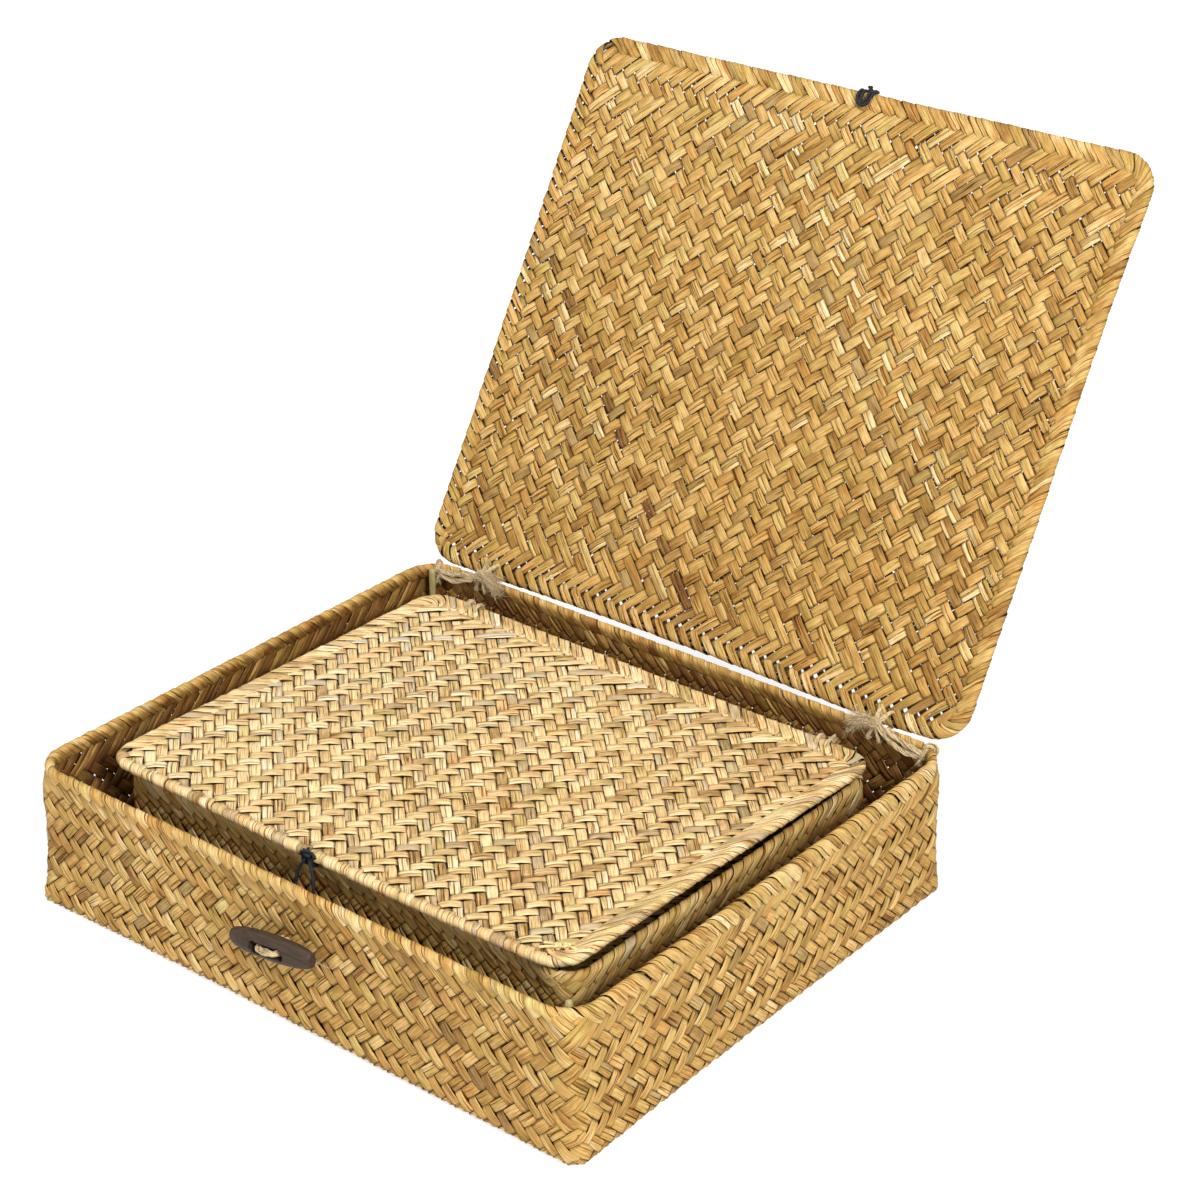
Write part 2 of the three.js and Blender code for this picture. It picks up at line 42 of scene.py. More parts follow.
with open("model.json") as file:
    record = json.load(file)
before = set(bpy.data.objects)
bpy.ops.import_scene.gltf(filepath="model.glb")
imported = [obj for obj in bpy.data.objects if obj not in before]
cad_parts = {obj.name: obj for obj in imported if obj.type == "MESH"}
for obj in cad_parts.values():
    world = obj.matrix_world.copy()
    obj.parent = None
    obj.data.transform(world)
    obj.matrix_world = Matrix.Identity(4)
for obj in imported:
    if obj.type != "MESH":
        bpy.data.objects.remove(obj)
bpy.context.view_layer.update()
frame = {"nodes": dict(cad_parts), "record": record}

# The two boxes. Their sizes and places are the frame's. The rest is how the photograph shows the soft sheets
# settled: a rim that dips on the right, a lid that is warped, lifted, short, bowed, tucked in by its hinge,
# narrow in the waist and askew, and cords that lie to one side.

BOXES = {
    "outer": SimpleNamespace(
        width=330, depth=280, height=76, rim_corner=20, wall_corner=10, place=(0, 0, 0), seed=11,
        lid_side=4, lid_front=11.5, lid_corner=18, open_degrees=121, tie_inset=41, anchored=True,
        tie_span=((0, 138.6, 74.4), (0, 142.4, 76.8)), toggle_place=(0, -141.624, 45.6), knot_shift=0,
        loop_bend=12.912, loop_turn=-17.11, loop_place=(0, 296.012, 323.740),
        stake_drops=(18, 0, 0, 18), rim_dip=0, lid_columns=(7.59, 5.3), lid_shade_slopes=(-0.05, -0.07),
        hinge_gaps=0.28,
        lid_warp=0, lid_lift=0, lid_short=0, lid_bow=1.8, lid_tuck=2.2, lid_waist=(1.9, 0.5, 0),
        lid_shift=-0.85, lid_skew=-2.7, lid_reach=5.2,
        knot_rise=(0, 0, 0), knot_slip=(3.9, -0.2, 3.2), loop_swell=(0.75, 0),
        knot_tails=((-1.2, -1.2, -1.4, -1.0, -3.4, -1.8), (-0.6, -1.2, -0.8, -3.0, -3.0, -1.4)),
    ),
    "inner": SimpleNamespace(
        width=276, depth=224, height=65.5, rim_corner=16, wall_corner=9, place=(0, 4, 2.5), seed=23,
        lid_side=3, lid_front=8, lid_corner=15, open_degrees=0, tie_inset=28, anchored=False,
        tie_span=((0, 116, 67.4), (0, 116, 69.0)), toggle_place=(0, -109.624, 41.8), knot_shift=-8,
        loop_bend=0, loop_turn=-8.35, loop_place=(-8, -117.036, 74.436),
        stake_drops=(0, 9, 0, 9), rim_dip=2.6, lid_columns=(7.67, 0), lid_shade_slopes=(-0.10, 0.0), hinge_gaps=0.05,
        lid_warp=4.0, lid_lift=3.8, lid_short=2.4, lid_bow=0, lid_tuck=0, lid_waist=(2.6, 0, 1),
        lid_shift=0, lid_skew=0, lid_reach=6.2,
        knot_rise=(0, 2.4, 0.7), knot_slip=(2.6, 0, 0), loop_swell=(0.42, 2.4),
        knot_tails=((2.6, 0.6, 0.5, 5.6, -0.4, -0.6), (-1.6, 2.4, 0.2, -2.8, 4.2, -0.8)),
    ),
}
HEM_RADIUS = 2.5
WALL_TAPER = 1
WALL_WAIST = 0.3
BASE_CORNER = 7
BASE_FOLD = 1.2
BASE_INNER_CORNER = 1.5
LID_GAP = 0.4
LID_LEVEL = LID_GAP / 2 + HEM_RADIUS
LID_ROLL = 1.6
LID_EDGE = LID_ROLL + 0.35
LID_FIELD_INSET = 4.0
SHEET_MIDDLE = 1.75

# Shares of a wall's height, and the share of the way from the base's corner to the rim's there

CORNER_HEIGHT_SHARES = (0, 0.12, 0.25, 0.8, 0.93, 1)

# Strips of the weave

CELL = 7.67
ROW_STEP = 8.0
TOP_ROW_DROP = 14.0
STRIP = 0.65
WAVE = 0.9
STRIP_SHARE = 0.98
SPLIT_SHARE = 0.3
TUCK = 6
STRIP_SECTION = ((-0.5, 0), (-0.43, 0.5), (0.43, 0.5), (0.5, 0), (0.43, -0.5), (-0.43, -0.5))
WALL_SECTION = (
    (-0.5, 0), (-0.43, 0.5), (-0.15, 0.5), (0.15, 0.5), (0.43, 0.5),
    (0.5, 0), (0.43, -0.5), (-0.43, -0.5),
)
WRAP_SECTION = (
    (-0.5, 0), (-0.43, 0.5), (-0.26, 0.5), (-0.09, 0.5), (0.09, 0.5), (0.26, 0.5), (0.43, 0.5),
    (0.5, 0), (0.43, -0.5), (0.15, -0.5), (-0.15, -0.5), (-0.43, -0.5),
)
EDGE_SIDE = 0.3
WRAP_STRIP = 0.42
WRAP_WAVE = 0.55

# Wraps of the hems on the front, right, back and left: slant, width in cells, how much is cut off at start
# and end, and the width of their tips as a share

LONG_WRAP, SHORT_WRAP = (0.95, 1.16, 7.0, 0, 1.0), (0.95, 1.02, 2.2, 0, 0.45)
BASKET_WRAPS = {
    "outer": (LONG_WRAP, SHORT_WRAP, LONG_WRAP, SHORT_WRAP),
    "inner": ((1.3, 1.04, 5.2, 0, 0.7), (-1.25, 1.02, 4.6, 0, 0.6), (0.95, 1.12, 8.2, 0, 0.95), SHORT_WRAP),
}
LID_WRAPS = {
    "outer": (
        (1.0, 1.04, 0, 0, 0.8), (1.0, 1.04, 0, 0, 0.8), (1.0, 0.84, 0, 0, 0.6), (-1.0, 0.80, 0.4, 0, 0.8),
    ),
    "inner": (
        (0.45, 1.06, 0, 5.4, 0.95), (1.7, 1.10, 0, 0, 0.6), (1.0, 0.92, 0, 0.6, 0.9), (1.0, 0.84, 0, 0, 0.8),
    ),
}

# The strip knot on the small lid: places of its two turns and routes of its ends, from the lid's middle

KNOT_TURNS = ((128.4, -105.2, 2.7), (131.6, -103.0, 2.7))
KNOT_ENDS = (
    ((128.6, -105.0, 2.2), (125.6, -106.6, 2.3), (121.5, -109.6, 2.0)),
    ((128.6, -105.0, 2.0), (124.6, -104.2, 2.1), (120.6, -105.4, 1.8)),
    ((131.0, -103.2, 2.2), (134.0, -101.4, 2.0), (136.6, -101.6, 1.5)),
)
KNOT_STRIP_RADIUS = 0.62

# Twine and cord: radius, strands, length of lay and tone

TWINE = (0.8, 2, 4.6, 0.6)
CORD = (0.9, 3, 5.5, 0.5)
TWINE_RADIUS, CORD_RADIUS = TWINE[0], CORD[0]
TOGGLE_TWINE_RADIUS = 1.3
CORD_KNOT_RADIUS = 2.2
TIE_KNOT_RADIUS = 2.4
STITCH_PITCH = 6
SEAT = 0.3
ANCHOR_DEGREES = 32
LOOP_DROP = 50
LOOP_HALF_WIDTH = 8.5
HOOP_RADIUS = 0.9
HAIR_OUT_SHARE = 0.65
CURVE_STEP = 0.45
STAKE_RADIUS = 1.8

# Tails of a tie: places along each, a share of their reach along the rim and millimetres across it and up

TIE_TAIL_REACH = 13
ANCHORED_TAILS = (
    ((0.35, -1.2, 0.9), (0.85, -1.0, -1.8), (1.25, -0.8, -5.0)),
    ((0.30, -2.0, -0.6), (0.75, -2.0, -3.6), (1.05, -2.2, -7.6)),
    ((0.30, 0.4, 1.8), (0.75, 0.2, 1.2), (1.1, -0.2, -0.6)),
)
PLAIN_TAILS = (((0.2, -2.0, -2.5), (0.35, -2.2, -5.2), (0.5, -2.4, -8.0)),)


# Small helpers


def put(name, data):
    made = bpy.data.objects.new(name, data)
    bpy.context.scene.collection.objects.link(made)
    return made


def aim(direction):
    return Vector(direction).to_track_quat("-Z", "Y").to_euler()


def running(steps):
    """Lengths from the start of a line, from the steps between its points."""
    return np.concatenate([[0], np.cumsum(steps)])


def steps_of(line):
    return np.linalg.norm(np.diff(line, axis=0), axis=1)


def bell(x, middle, reach):
    """1 at the middle, fading to 0 on both sides: e to the power of minus the squared distance in reaches."""
    return np.exp(-(((x - middle) / reach) ** 2))


def with_z(flat, z):
    return np.concatenate([flat, z[..., None]], -1)


def turn_x(points, degrees):
    """Points turned about the X axis."""
    cos, sin = math.cos(math.radians(degrees)), math.sin(math.radians(degrees))
    return np.asarray(points, float) @ np.array([[1, 0, 0], [0, cos, sin], [0, -sin, cos]])


# Materials


class Nodes:
    """Adds nodes to a material or a world and links them."""

    def __init__(self, owner):
        owner.use_nodes = True
        self.owner = owner
        self.tree = owner.node_tree
        self.shader = self.tree.nodes.get("Principled BSDF")

    def feed(self, node, inputs):
        """Fills inputs by name or number. A socket is linked, a number or a colour is set."""
        for key, value in inputs.items():
            if isinstance(value, bpy.types.NodeSocket):
                self.tree.links.new(value, node.inputs[key])
            else:
                node.inputs[key].default_value = value
        return node

    def add(self, kind, *values, **settings):
        node = self.tree.nodes.new(kind)
        for key, value in settings.items():
            setattr(node, key, value)
        return self.feed(node, dict(enumerate(values)))

    def math(self, operation, *values):
        return self.add("ShaderNodeMath", *values, operation=operation).outputs[0]

    def noise(self, vector, detail=2.0, rough=0.5):
        inputs = {"Vector": vector, "Scale": 1.0, "Detail": detail, "Roughness": rough}
        return self.feed(self.add("ShaderNodeTexNoise"), inputs).outputs[0]

    def ramp(self, value, colors):
        """Colours at even places from 0 to 1."""
        node = self.add("ShaderNodeValToRGB", value)
        elements = node.color_ramp.elements
        while len(elements) < len(colors):
            elements.new(0.5)
        for k, color in enumerate(colors):
            elements[k].position = k / (len(colors) - 1)
            elements[k].color = (*color, 1)
        return node.outputs[0]

    def spread(self, value, low, high, to_low=0.0, to_high=1.0):
        return self.add("ShaderNodeMapRange", value, low, high, to_low, to_high).outputs[0]

    def sway(self, noise, low, high):
        """Where most of a noise's values lie, from 0.3 to 0.7, spread from low to high."""
        return self.spread(noise, 0.3, 0.7, low, high)

    def blend(self, kind, share, first, second):
        node = self.add("ShaderNodeMix", data_type="RGBA", blend_type=kind)
        return self.feed(node, {0: share, 6: first, 7: second}).outputs[2]

    def bump(self, height, strength, distance):
        inputs = {"Strength": strength, "Distance": distance, "Height": height}
        self.feed(self.shader, {"Normal": self.feed(self.add("ShaderNodeBump"), inputs).outputs[0]})

    def attribute(self, name):
        return self.add("ShaderNodeAttribute", attribute_name=name).outputs["Fac"]

    def strip_place(self):
        """Lengths along and across a strip or a thread."""
        chart = self.add("ShaderNodeUVMap", uv_map="strip").outputs[0]
        return self.add("ShaderNodeSeparateXYZ", chart).outputs

    def finish(self, color, roughness, specular):
        self.feed(self.shader, {"Base Color": color, "Roughness": roughness, "Specular IOR Level": specular})
        return self.owner


# Tones of the grass from dark to pale, a lit copy of them, the dark colour of its joints and of painted
# shade, its hues, and how its patterns are drawn out

GOLDEN = (
    (0.190, 0.085, 0.022), (0.385, 0.215, 0.055), (0.560, 0.350, 0.104), (0.710, 0.495, 0.190),
    (0.860, 0.680, 0.370),
)
# Painted light: a paler copy of the golden tones for the inner lid, standing in for the light on its upward
# face
LIT_PALE = (
    (0.300, 0.170, 0.060), (0.520, 0.340, 0.135), (0.880, 0.650, 0.320), (0.960, 0.790, 0.460),
    (0.980, 0.880, 0.630),
)
# The dark colour of the joints, also used for the painted shade where strips dive and along their edges
SHADE_AND_JOINT = (0.036, 0.013, 0.003, 1)
ORANGE, OLIVE, FADED = (1.0, 0.86, 0.72, 1), (0.90, 0.98, 0.86, 1), (0.72, 0.74, 0.86, 1)
BROAD, FINE, BLOTCH, HUE, CRACK = (0.05, 0.8), (0.08, 2.3), (0.13, 0.2), (0.035, 0.05), (0.05, 1.5)


def grass_material(name, tones, faded_share):
    """Flattened seagrass: fibres along it, a colour that drifts from strip to strip, and painted shade where
    it dives.
    """
    n = Nodes(bpy.data.materials.new(name))
    strip = n.strip_place()
    shifted = n.math("MULTIPLY", n.attribute("strand"), 37.0)

    def drawn_out(stretch, *roughness):
        x, y = (n.math("MULTIPLY", strip[k], stretch[k]) for k in (0, 1))
        return n.noise(n.add("ShaderNodeCombineXYZ", x, y, shifted).outputs[0], *roughness)

    broad, fine = drawn_out(BROAD, 2.0, 0.6), drawn_out(FINE, 2.0, 0.7)
    tone = n.math("ADD", n.attribute("tone"), n.sway(drawn_out(BLOTCH, 3.0, 0.6), -0.12, 0.12))
    color = n.ramp(n.math("ADD", tone, n.sway(broad, -0.10, 0.10)), tones)
    hue = drawn_out(HUE, 1.0)
    color = n.blend("MULTIPLY", n.spread(hue, 0.56, 0.70, 0.0, 0.8), color, ORANGE)
    color = n.blend("MULTIPLY", n.spread(hue, 0.50, 0.34, 0.0, 0.9), color, OLIVE)
    crack = n.spread(drawn_out(CRACK, 0.0), 0.27, 0.33, 0.42, 1.0)
    streak = n.math("MULTIPLY", n.spread(fine, 0.36, 0.62, 0.62, 1.10), crack)
    green, blue = (n.spread(streak, 0.0, 1.0, low, 1.0) for low in (-0.26, -0.50))
    color = n.blend("MULTIPLY", 1.0, color, n.add("ShaderNodeCombineXYZ", streak, green, blue).outputs[0])
    faded = n.spread(n.attribute("strand"), 1 - faded_share, 1.02 - faded_share)
    color = n.blend("MULTIPLY", faded, color, FADED)
    # Painted shade: the colour is drawn towards the dark joint colour where a strip dives under the other
    # family and along its edges. The edges are partly shade between strips and partly a darker edge of the
    # strip's own.
    edge = n.math("DIVIDE", n.math("ABSOLUTE", strip[1]), n.attribute("half"))
    dive_shade = n.spread(n.attribute("dive_shade"), -0.42, 0.15, 0.0, 0.95)
    color = n.blend("MIX", n.math("MAXIMUM", dive_shade, n.spread(edge, 0.90, 1.0, 0.0, 0.5)), color, SHADE_AND_JOINT)
    n.bump(n.math("ADD", broad, n.math("MULTIPLY", fine, 0.8)), 0.7, 0.0005)
    return n.finish(color, n.sway(fine, 0.5, 0.7), 0.15)


def thread_material(name, low, high, roughness, sheen=0.0):
    """Twisted fibres: a tone along the thread, fine dark lines along the fibres and a fibrous bump."""
    n = Nodes(bpy.data.materials.new(name))
    strip = n.strip_place()
    slid = n.math("ADD", strip[1], n.math("MULTIPLY", strip[0], 0.5))
    place = n.add("ShaderNodeCombineXYZ", n.math("MULTIPLY", strip[0], 0.5), n.math("MULTIPLY", slid, 3.2))
    fibre = n.noise(place.outputs[0], 2.0, 0.6)
    color = n.ramp(n.math("ADD", n.attribute("tone"), n.sway(fibre, -0.35, 0.35)), (low, high))
    n.bump(fibre, 0.5, 0.0003)
    n.feed(n.shader, {"Sheen Weight": sheen, "Sheen Roughness": 0.5})
    return n.finish(color, roughness, 0.3)


def wood_material(name, low, high, roughness, along, specular=0.4):
    """Wood with fine grain along X or Z: noise stretched along that axis, in object coordinates."""
    n = Nodes(bpy.data.materials.new(name))
    place = n.add("ShaderNodeMapping", n.add("ShaderNodeTexCoord").outputs["Object"])
    grain = n.noise(n.feed(place, {"Scale": along}).outputs[0], 3.0, 0.6)
    color = n.ramp(n.sway(grain, 0.0, 1.0), (low, high))
    n.bump(grain, 0.25, 0.0003)
    return n.finish(color, n.sway(grain, roughness, roughness + 0.15), specular)


# Camera and light

CAMERA_PLACE = (0.7671, -0.8630, 0.7465)
CAMERA_AIM = (-0.56198, 0.69099, -0.45466)
CAMERA_LENS = 85.7
CAMERA_SENSOR = 36
LIGHTS = {
    "key": ((1.6, -0.7, 1.3), 0.6, 41),
    "fill": ((-0.7, -1.7, 0.9), 0.9, 11),
    "top": ((0.1, -0.3, 1.9), 0.9, 17),
}
LIT_HEIGHT = 0.08
WHITE = (1, 1, 1, 1)
SKY_STRENGTH = 0.23
FLOOR_COLOR = (0.9, 0.9, 0.9, 1)
FLOOR_GLOW = 1.15
FLOOR_WHITE_SHARE = 0.6
FLOOR_FADE = (0.15, 0.45)
FLOOR_REACH = 6


def make_camera():
    camera = put("camera", bpy.data.cameras.new("camera"))
    camera.data.lens = CAMERA_LENS
    camera.data.sensor_width = CAMERA_SENSOR
    camera.location = CAMERA_PLACE
    camera.rotation_euler = aim(CAMERA_AIM)
    bpy.context.scene.camera = camera


def show_white(n, lit, glow, share, output):
    """Mixes a share of plain white into what the camera, glossy and transmitted rays see of a lit surface."""
    rays = n.add("ShaderNodeLightPath").outputs
    ray = n.math("MAXIMUM", rays["Is Camera Ray"], rays["Is Glossy Ray"])
    part = n.math("MULTIPLY", n.math("MAXIMUM", ray, rays["Is Transmission Ray"]), share)
    mix = n.add("ShaderNodeMixShader", part, lit.outputs[0], glow.outputs[0])
    n.feed(n.tree.nodes[output], {"Surface": mix.outputs[0]})


def make_studio():
    """A white sky, three soft lights and a pale floor that fades to white between two distances."""
    scene = bpy.context.scene
    scene.view_settings.view_transform = "Standard"
    scene.world = bpy.data.worlds.new("studio")
    n = Nodes(scene.world)
    sky = n.feed(n.tree.nodes["Background"], {"Color": WHITE, "Strength": SKY_STRENGTH})
    show_white(n, sky, n.add("ShaderNodeBackground", WHITE, 1.0), 1.0, "World Output")
    for name, (place, size, power) in LIGHTS.items():
        light = put(name, bpy.data.lights.new(name, "AREA"))
        light.data.shape = "DISK"
        light.data.size = size
        light.data.energy = power
        light.location = place
        light.rotation_euler = aim(Vector((0, 0, LIT_HEIGHT)) - Vector(place))
    mesh = bpy.data.meshes.new("floor")
    corners = [(x * FLOOR_REACH, y * FLOOR_REACH, 0) for x, y in ((-1, -1), (1, -1), (1, 1), (-1, 1))]
    mesh.from_pydata(corners, [], [(0, 1, 2, 3)])
    floor = put("floor", mesh)
    n = Nodes(bpy.data.materials.new("floor"))
    n.feed(n.shader, {"Base Color": FLOOR_COLOR, "Roughness": 0.8})
    far = n.add("ShaderNodeVectorMath", n.add("ShaderNodeTexCoord").outputs["Object"], operation="LENGTH")
    share = n.spread(far.outputs["Value"], *FLOOR_FADE, FLOOR_WHITE_SHARE, 1.0)
    show_white(n, n.shader, n.add("ShaderNodeEmission", WHITE, FLOOR_GLOW), share, "Material Output")
    mesh.materials.append(n.owner)


# Rounded rectangles


class Outline:
    """A rounded rectangle whose lengths are measured anticlockwise from the middle of its front side."""

    def __init__(self, half_x, half_y, radius):
        self.half = np.array([half_x, half_y, half_x, half_y], float)
        self.radius = radius
        self.sides = 2 * (self.half - radius) + math.pi / 2 * radius
        self.ends = np.cumsum(self.sides)
        self.length = self.sides.sum()

    def from_left(self, u):
        """Lengths from the front side's left end."""
        return np.mod(u + self.sides[0] / 2, self.length)

    def side(self, u):
        """0 to 3 for a length on the front, the right, the back or the left."""
        return np.minimum(np.searchsorted(self.ends, self.from_left(u), side="right"), 3)

    def off(self, u):
        """How far each length is past the middle of its side."""
        side = self.side(u)
        return self.from_left(u) - (self.ends[side] - self.sides[side] / 2)

    def near_corner(self, u):
        """1 in the middle of a corner, fading to 0 beside it."""
        return bell(self.from_left(u)[..., None] - running(self.sides), 0, 7).max(-1)

    def place(self, u, size=None):
        """Points and outward directions for lengths u of this outline, on it or on one of another size."""
        half_x, half_y, radius = size or (*self.half[:2], self.radius)
        side = self.side(u)
        half = np.where(side % 2 == 0, half_x, half_y)
        reach = np.where(side % 2 == 0, half_y, half_x)
        straight = half - radius
        off = self.off(u) * (2 * straight + math.pi / 2 * radius) / self.sides[side]
        turn = np.maximum(np.abs(off) - straight, 0) / radius
        way = np.sign(off)
        run = way * (np.minimum(np.abs(off), straight) + radius * np.sin(turn))
        out = reach - radius * (1 - np.cos(turn))
        cos, sin = np.cos(side * math.pi / 2), np.sin(side * math.pi / 2)
        run_out, out_out = way * np.sin(turn), np.cos(turn)
        point = np.stack([cos * run + sin * out, sin * run - cos * out], -1)
        return point, np.stack([cos * run_out + sin * out_out, sin * run_out - cos * out_out], -1)

    def inside(self, x, y):
        dx = np.abs(x) - (self.half[0] - self.radius)
        dy = np.abs(y) - (self.half[1] - self.radius)
        corner = np.hypot(np.maximum(dx, 0), np.maximum(dy, 0))
        return corner + np.minimum(np.maximum(dx, dy), 0) < self.radius


def wall_outline(box):
    inset = HEM_RADIUS
    return Outline(box.width / 2 - inset, box.depth / 2 - inset, box.rim_corner - inset)


def lid_length(box):
    return box.depth + box.lid_front


def lid_outline(box, inset):
    return Outline(box.width / 2 + box.lid_side - inset, lid_length(box) / 2 - inset, box.lid_corner - inset)


# Meshes


class Strips:
    """Gathers strips, each a run of chart places, and turns them into one mesh."""

    def __init__(self, seed):
        self.rng = np.random.default_rng(seed)
        self.runs = []

    def wander(self, along, step, size):
        """A smooth random drift along a strip: random knots a step apart, joined by straight lines."""
        knots = np.arange(along[0] - step, along[-1] + 2 * step, step)
        return np.interp(along, knots, self.rng.normal(0, size, len(knots)))

    def add(self, u, v, wave, width, rise=WAVE, tilt=0.0, tone=0.0):
        """A strip along (u, v) that lies at wave times rise off the sheet's middle. Some are split in two."""
        along = running(np.hypot(np.diff(u), np.diff(v)))
        direction = np.array([u[-1] - u[0], v[-1] - v[0]])
        direction = direction / np.hypot(*direction)
        tone = tone + self.rng.normal(0.5, 0.085) + self.wander(along, 11, 0.075)
        drift = self.wander(along, 14, 0.22)
        narrow = 1 - 0.07 * (1 - np.abs(wave))
        width = width * narrow * (1 + self.rng.normal(0, 0.035) + self.wander(along, 9, 0.04))
        parts = ((0.0, 1.0),)
        if self.rng.uniform() < SPLIT_SHARE:
            cut = self.rng.uniform(0.3, 0.7)
            parts = (((cut - 1) / 2, cut * 0.95), (cut / 2, (1 - cut) * 0.95))
        for place, share in parts:
            off = drift + place * width
            self.runs.append(
                dict(
                    u=u - direction[1] * off,
                    v=v + direction[0] * off,
                    wave=wave * np.ones(len(u)),
                    height=wave * (rise + self.wander(along, 10, 0.10)) + self.rng.normal(0, 0.03),
                    width=width * share,
                    tilt=(tilt + self.wander(along, 8, 0.16)) * share,
                    side=np.tile([-direction[1], direction[0]], (len(u), 1)),
                    along=along + self.rng.uniform(0, 500),
                    tone=tone + (0 if share == 1.0 else self.rng.normal(0.05, 0.14)),
                    strand=np.full(len(u), self.rng.uniform(0, 1)),
                    half=width * share / 2,
                )
            )

    def mesh(self, name, place, section=STRIP_SECTION, thickness=STRIP, inside_shade=0.0):
        """Puts the section across each strip at all its places, and turns chart places into points."""
        section = np.array(section)
        side = np.where(section[:, 1] == 0, EDGE_SIDE, 2 * section[:, 1])
        sizes = np.array([len(run["u"]) for run in self.runs])
        whole = {key: np.concatenate([run[key] for run in self.runs]) for key in self.runs[0]}
        across = whole["width"][:, None] * section[None, :, 0]
        u = whole["u"][:, None] + whole["side"][:, 0, None] * across
        v = whole["v"][:, None] + whole["side"][:, 1, None] * across
        points, normals = place(u, v)
        lift = whole["height"][:, None] + thickness * section[None, :, 1]
        lift = lift + whole["tilt"][:, None] * section[None, :, 0]
        extras = {key: np.repeat(whole[key], len(section)) for key in ("strand", "half")}
        # Painted shade: points below the section's middle, on the inside face of a wall, take a tone lowered
        # by the inside shade.
        extras["tone"] = (whole["tone"][:, None] + inside_shade * (side < 0)).ravel()
        # The dive shade value: minus the wave on the face a point lies on. The material paints shade from it
        # where strips dive.
        extras["dive_shade"] = (-whole["wave"][:, None] * side).ravel()
        across = np.concatenate([across, across[:, :1]], 1)
        return ring_mesh(name, points + normals * lift[..., None], sizes, whole["along"], across, extras)


def ring_mesh(name, points, sizes, along, across, extras):
    """Closed tubes from rings of points, each a run of rings walled ring to ring and shut at both ends.

    Two charts go with it: lengths along and across each tube, and an atlas with a cell for each tube."""
    count = points.shape[1]
    starts = running(sizes)[:-1]
    stops = starts + sizes - 1
    last = np.zeros(len(points), bool)
    last[stops] = True
    rings = np.flatnonzero(~last)[:, None] * count
    k = np.arange(count)
    nxt = (k + 1) % count
    walls = np.stack([rings + k, rings + nxt, rings + count + nxt, rings + count + k], -1).reshape(-1, 4)
    cap = np.array([(-j % count, j + 1, j + 2, (-1 - j) % count) for j in range(count // 2 - 1)])
    head = (starts[:, None, None] * count + cap[None, :, ::-1]).reshape(-1, 4)
    tail = (stops[:, None, None] * count + cap[None]).reshape(-1, 4)
    quads = np.concatenate([walls, head, tail])
    corner = quads % count
    wraps = (np.tile(nxt, len(rings)) == 0)[:, None] & (corner[: len(walls)] == 0)
    corner[: len(walls)] += np.where(wraps, count, 0)
    ring = quads // count

    spans = along[stops] - along[starts]
    girth = np.abs(np.diff(across, axis=1)).sum(1).mean()
    columns = max(1, round(math.sqrt(len(sizes) * girth / spans.max())))
    rows = math.ceil(len(sizes) / columns)
    number = np.repeat(np.arange(len(sizes)), sizes)
    share = (along - np.repeat(along[starts], sizes)) / spans.max()
    atlas_x = ((number % columns) + 0.98 * share) / columns
    atlas_y = (number[ring] // columns + 0.02 + 0.94 * corner / count) / rows
    maps = {
        "strip": np.stack([along[ring], across[ring, corner]], -1),
        "OFBake": np.stack([atlas_x[ring], atlas_y], -1),
    }
    flat = points.reshape(-1, 3)
    a, b, c, d = (flat[quads[:, i]] for i in range(4))
    if (a * (np.cross(b, c) + np.cross(c, d))).sum() < 0:
        quads = quads[:, ::-1]
        maps = {key: value[:, ::-1] for key, value in maps.items()}

    mesh = bpy.data.meshes.new(name)
    mesh.vertices.add(len(flat))
    mesh.vertices.foreach_set("co", (flat * MM).astype(np.float32).ravel())
    mesh.loops.add(quads.size)
    mesh.loops.foreach_set("vertex_index", quads.astype(np.int32).ravel())
    mesh.polygons.add(len(quads))
    mesh.polygons.foreach_set("loop_start", np.arange(0, quads.size, 4, dtype=np.int32))
    mesh.update(calc_edges=True)
    mesh.shade_smooth()
    for key, places in maps.items():
        mesh.uv_layers.new(name=key).data.foreach_set("uv", places.astype(np.float32).ravel())
    for key, values in extras.items():
        set_values(mesh, key, values)
    return put(name, mesh)


def set_values(mesh, key, values):
    mesh.attributes.new(key, "FLOAT", "POINT").data.foreach_set("value", values.astype(np.float32))


def dress(box, body, node, slot, *pieces, look=None):
    """Gives pieces their look, the body they ride on and the node that they show."""
    for piece in pieces:
        piece.data.materials.append(LOOKS[look or slot])
        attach(piece, f"{box.prefix}_{body}")
        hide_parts(f"{box.prefix}_{node}")


# Weave


def weave_along(low, high, first, step, is_over):
    """Places along a strip from low to high, and its height there as a share of the wave.

    The strip crosses the other family every step from first. Between two crossings on one side it arches,
    and between an over and an under it dives.
    """
    count = np.arange(math.floor((low - first) / step) - 1, math.ceil((high - first) / step) + 2)
    side = np.where(is_over(first + count * step), 1.0, -1.0)
    here, there = side[:-1], side[1:]
    dives = here != there
    places = first + step * (count[:-1, None] + np.array([0.24, 0.5, 0.76]))
    heights = np.stack([0.58 * here, (here + there) / 2, 0.58 * there], -1)
    keep = np.stack([dives, np.ones_like(dives), dives], -1)
    places, heights = places[keep], heights[keep]
    inner = (places > low + 0.4) & (places < high - 0.4)
    ends = np.interp([low, high], places, heights)
    return (
        np.concatenate([[low], places[inner], [high]]),
        np.concatenate([ends[:1], heights[inner], ends[1:]]),
    )


def loosen(gap, back, hinge_gaps):
    """Width of a strip as a share of its pitch: full in the field, less near a lid's hem, where light shows,
    and least along the hinge."""
    by_hinge = bell(back, 0, 12)
    rows = (0.025 + 0.06 * by_hinge) * bell(gap, 14, 8)
    return STRIP_SHARE - rows - 0.09 * bell(gap, 1, 3) - hinge_gaps * by_hinge * bell(gap, 5, 3.5)


def rim_cells(rim):
    """How many cells of the weave go round an outline, and how wide each is."""
    count = round(rim.length / CELL)
    return count, rim.length / count


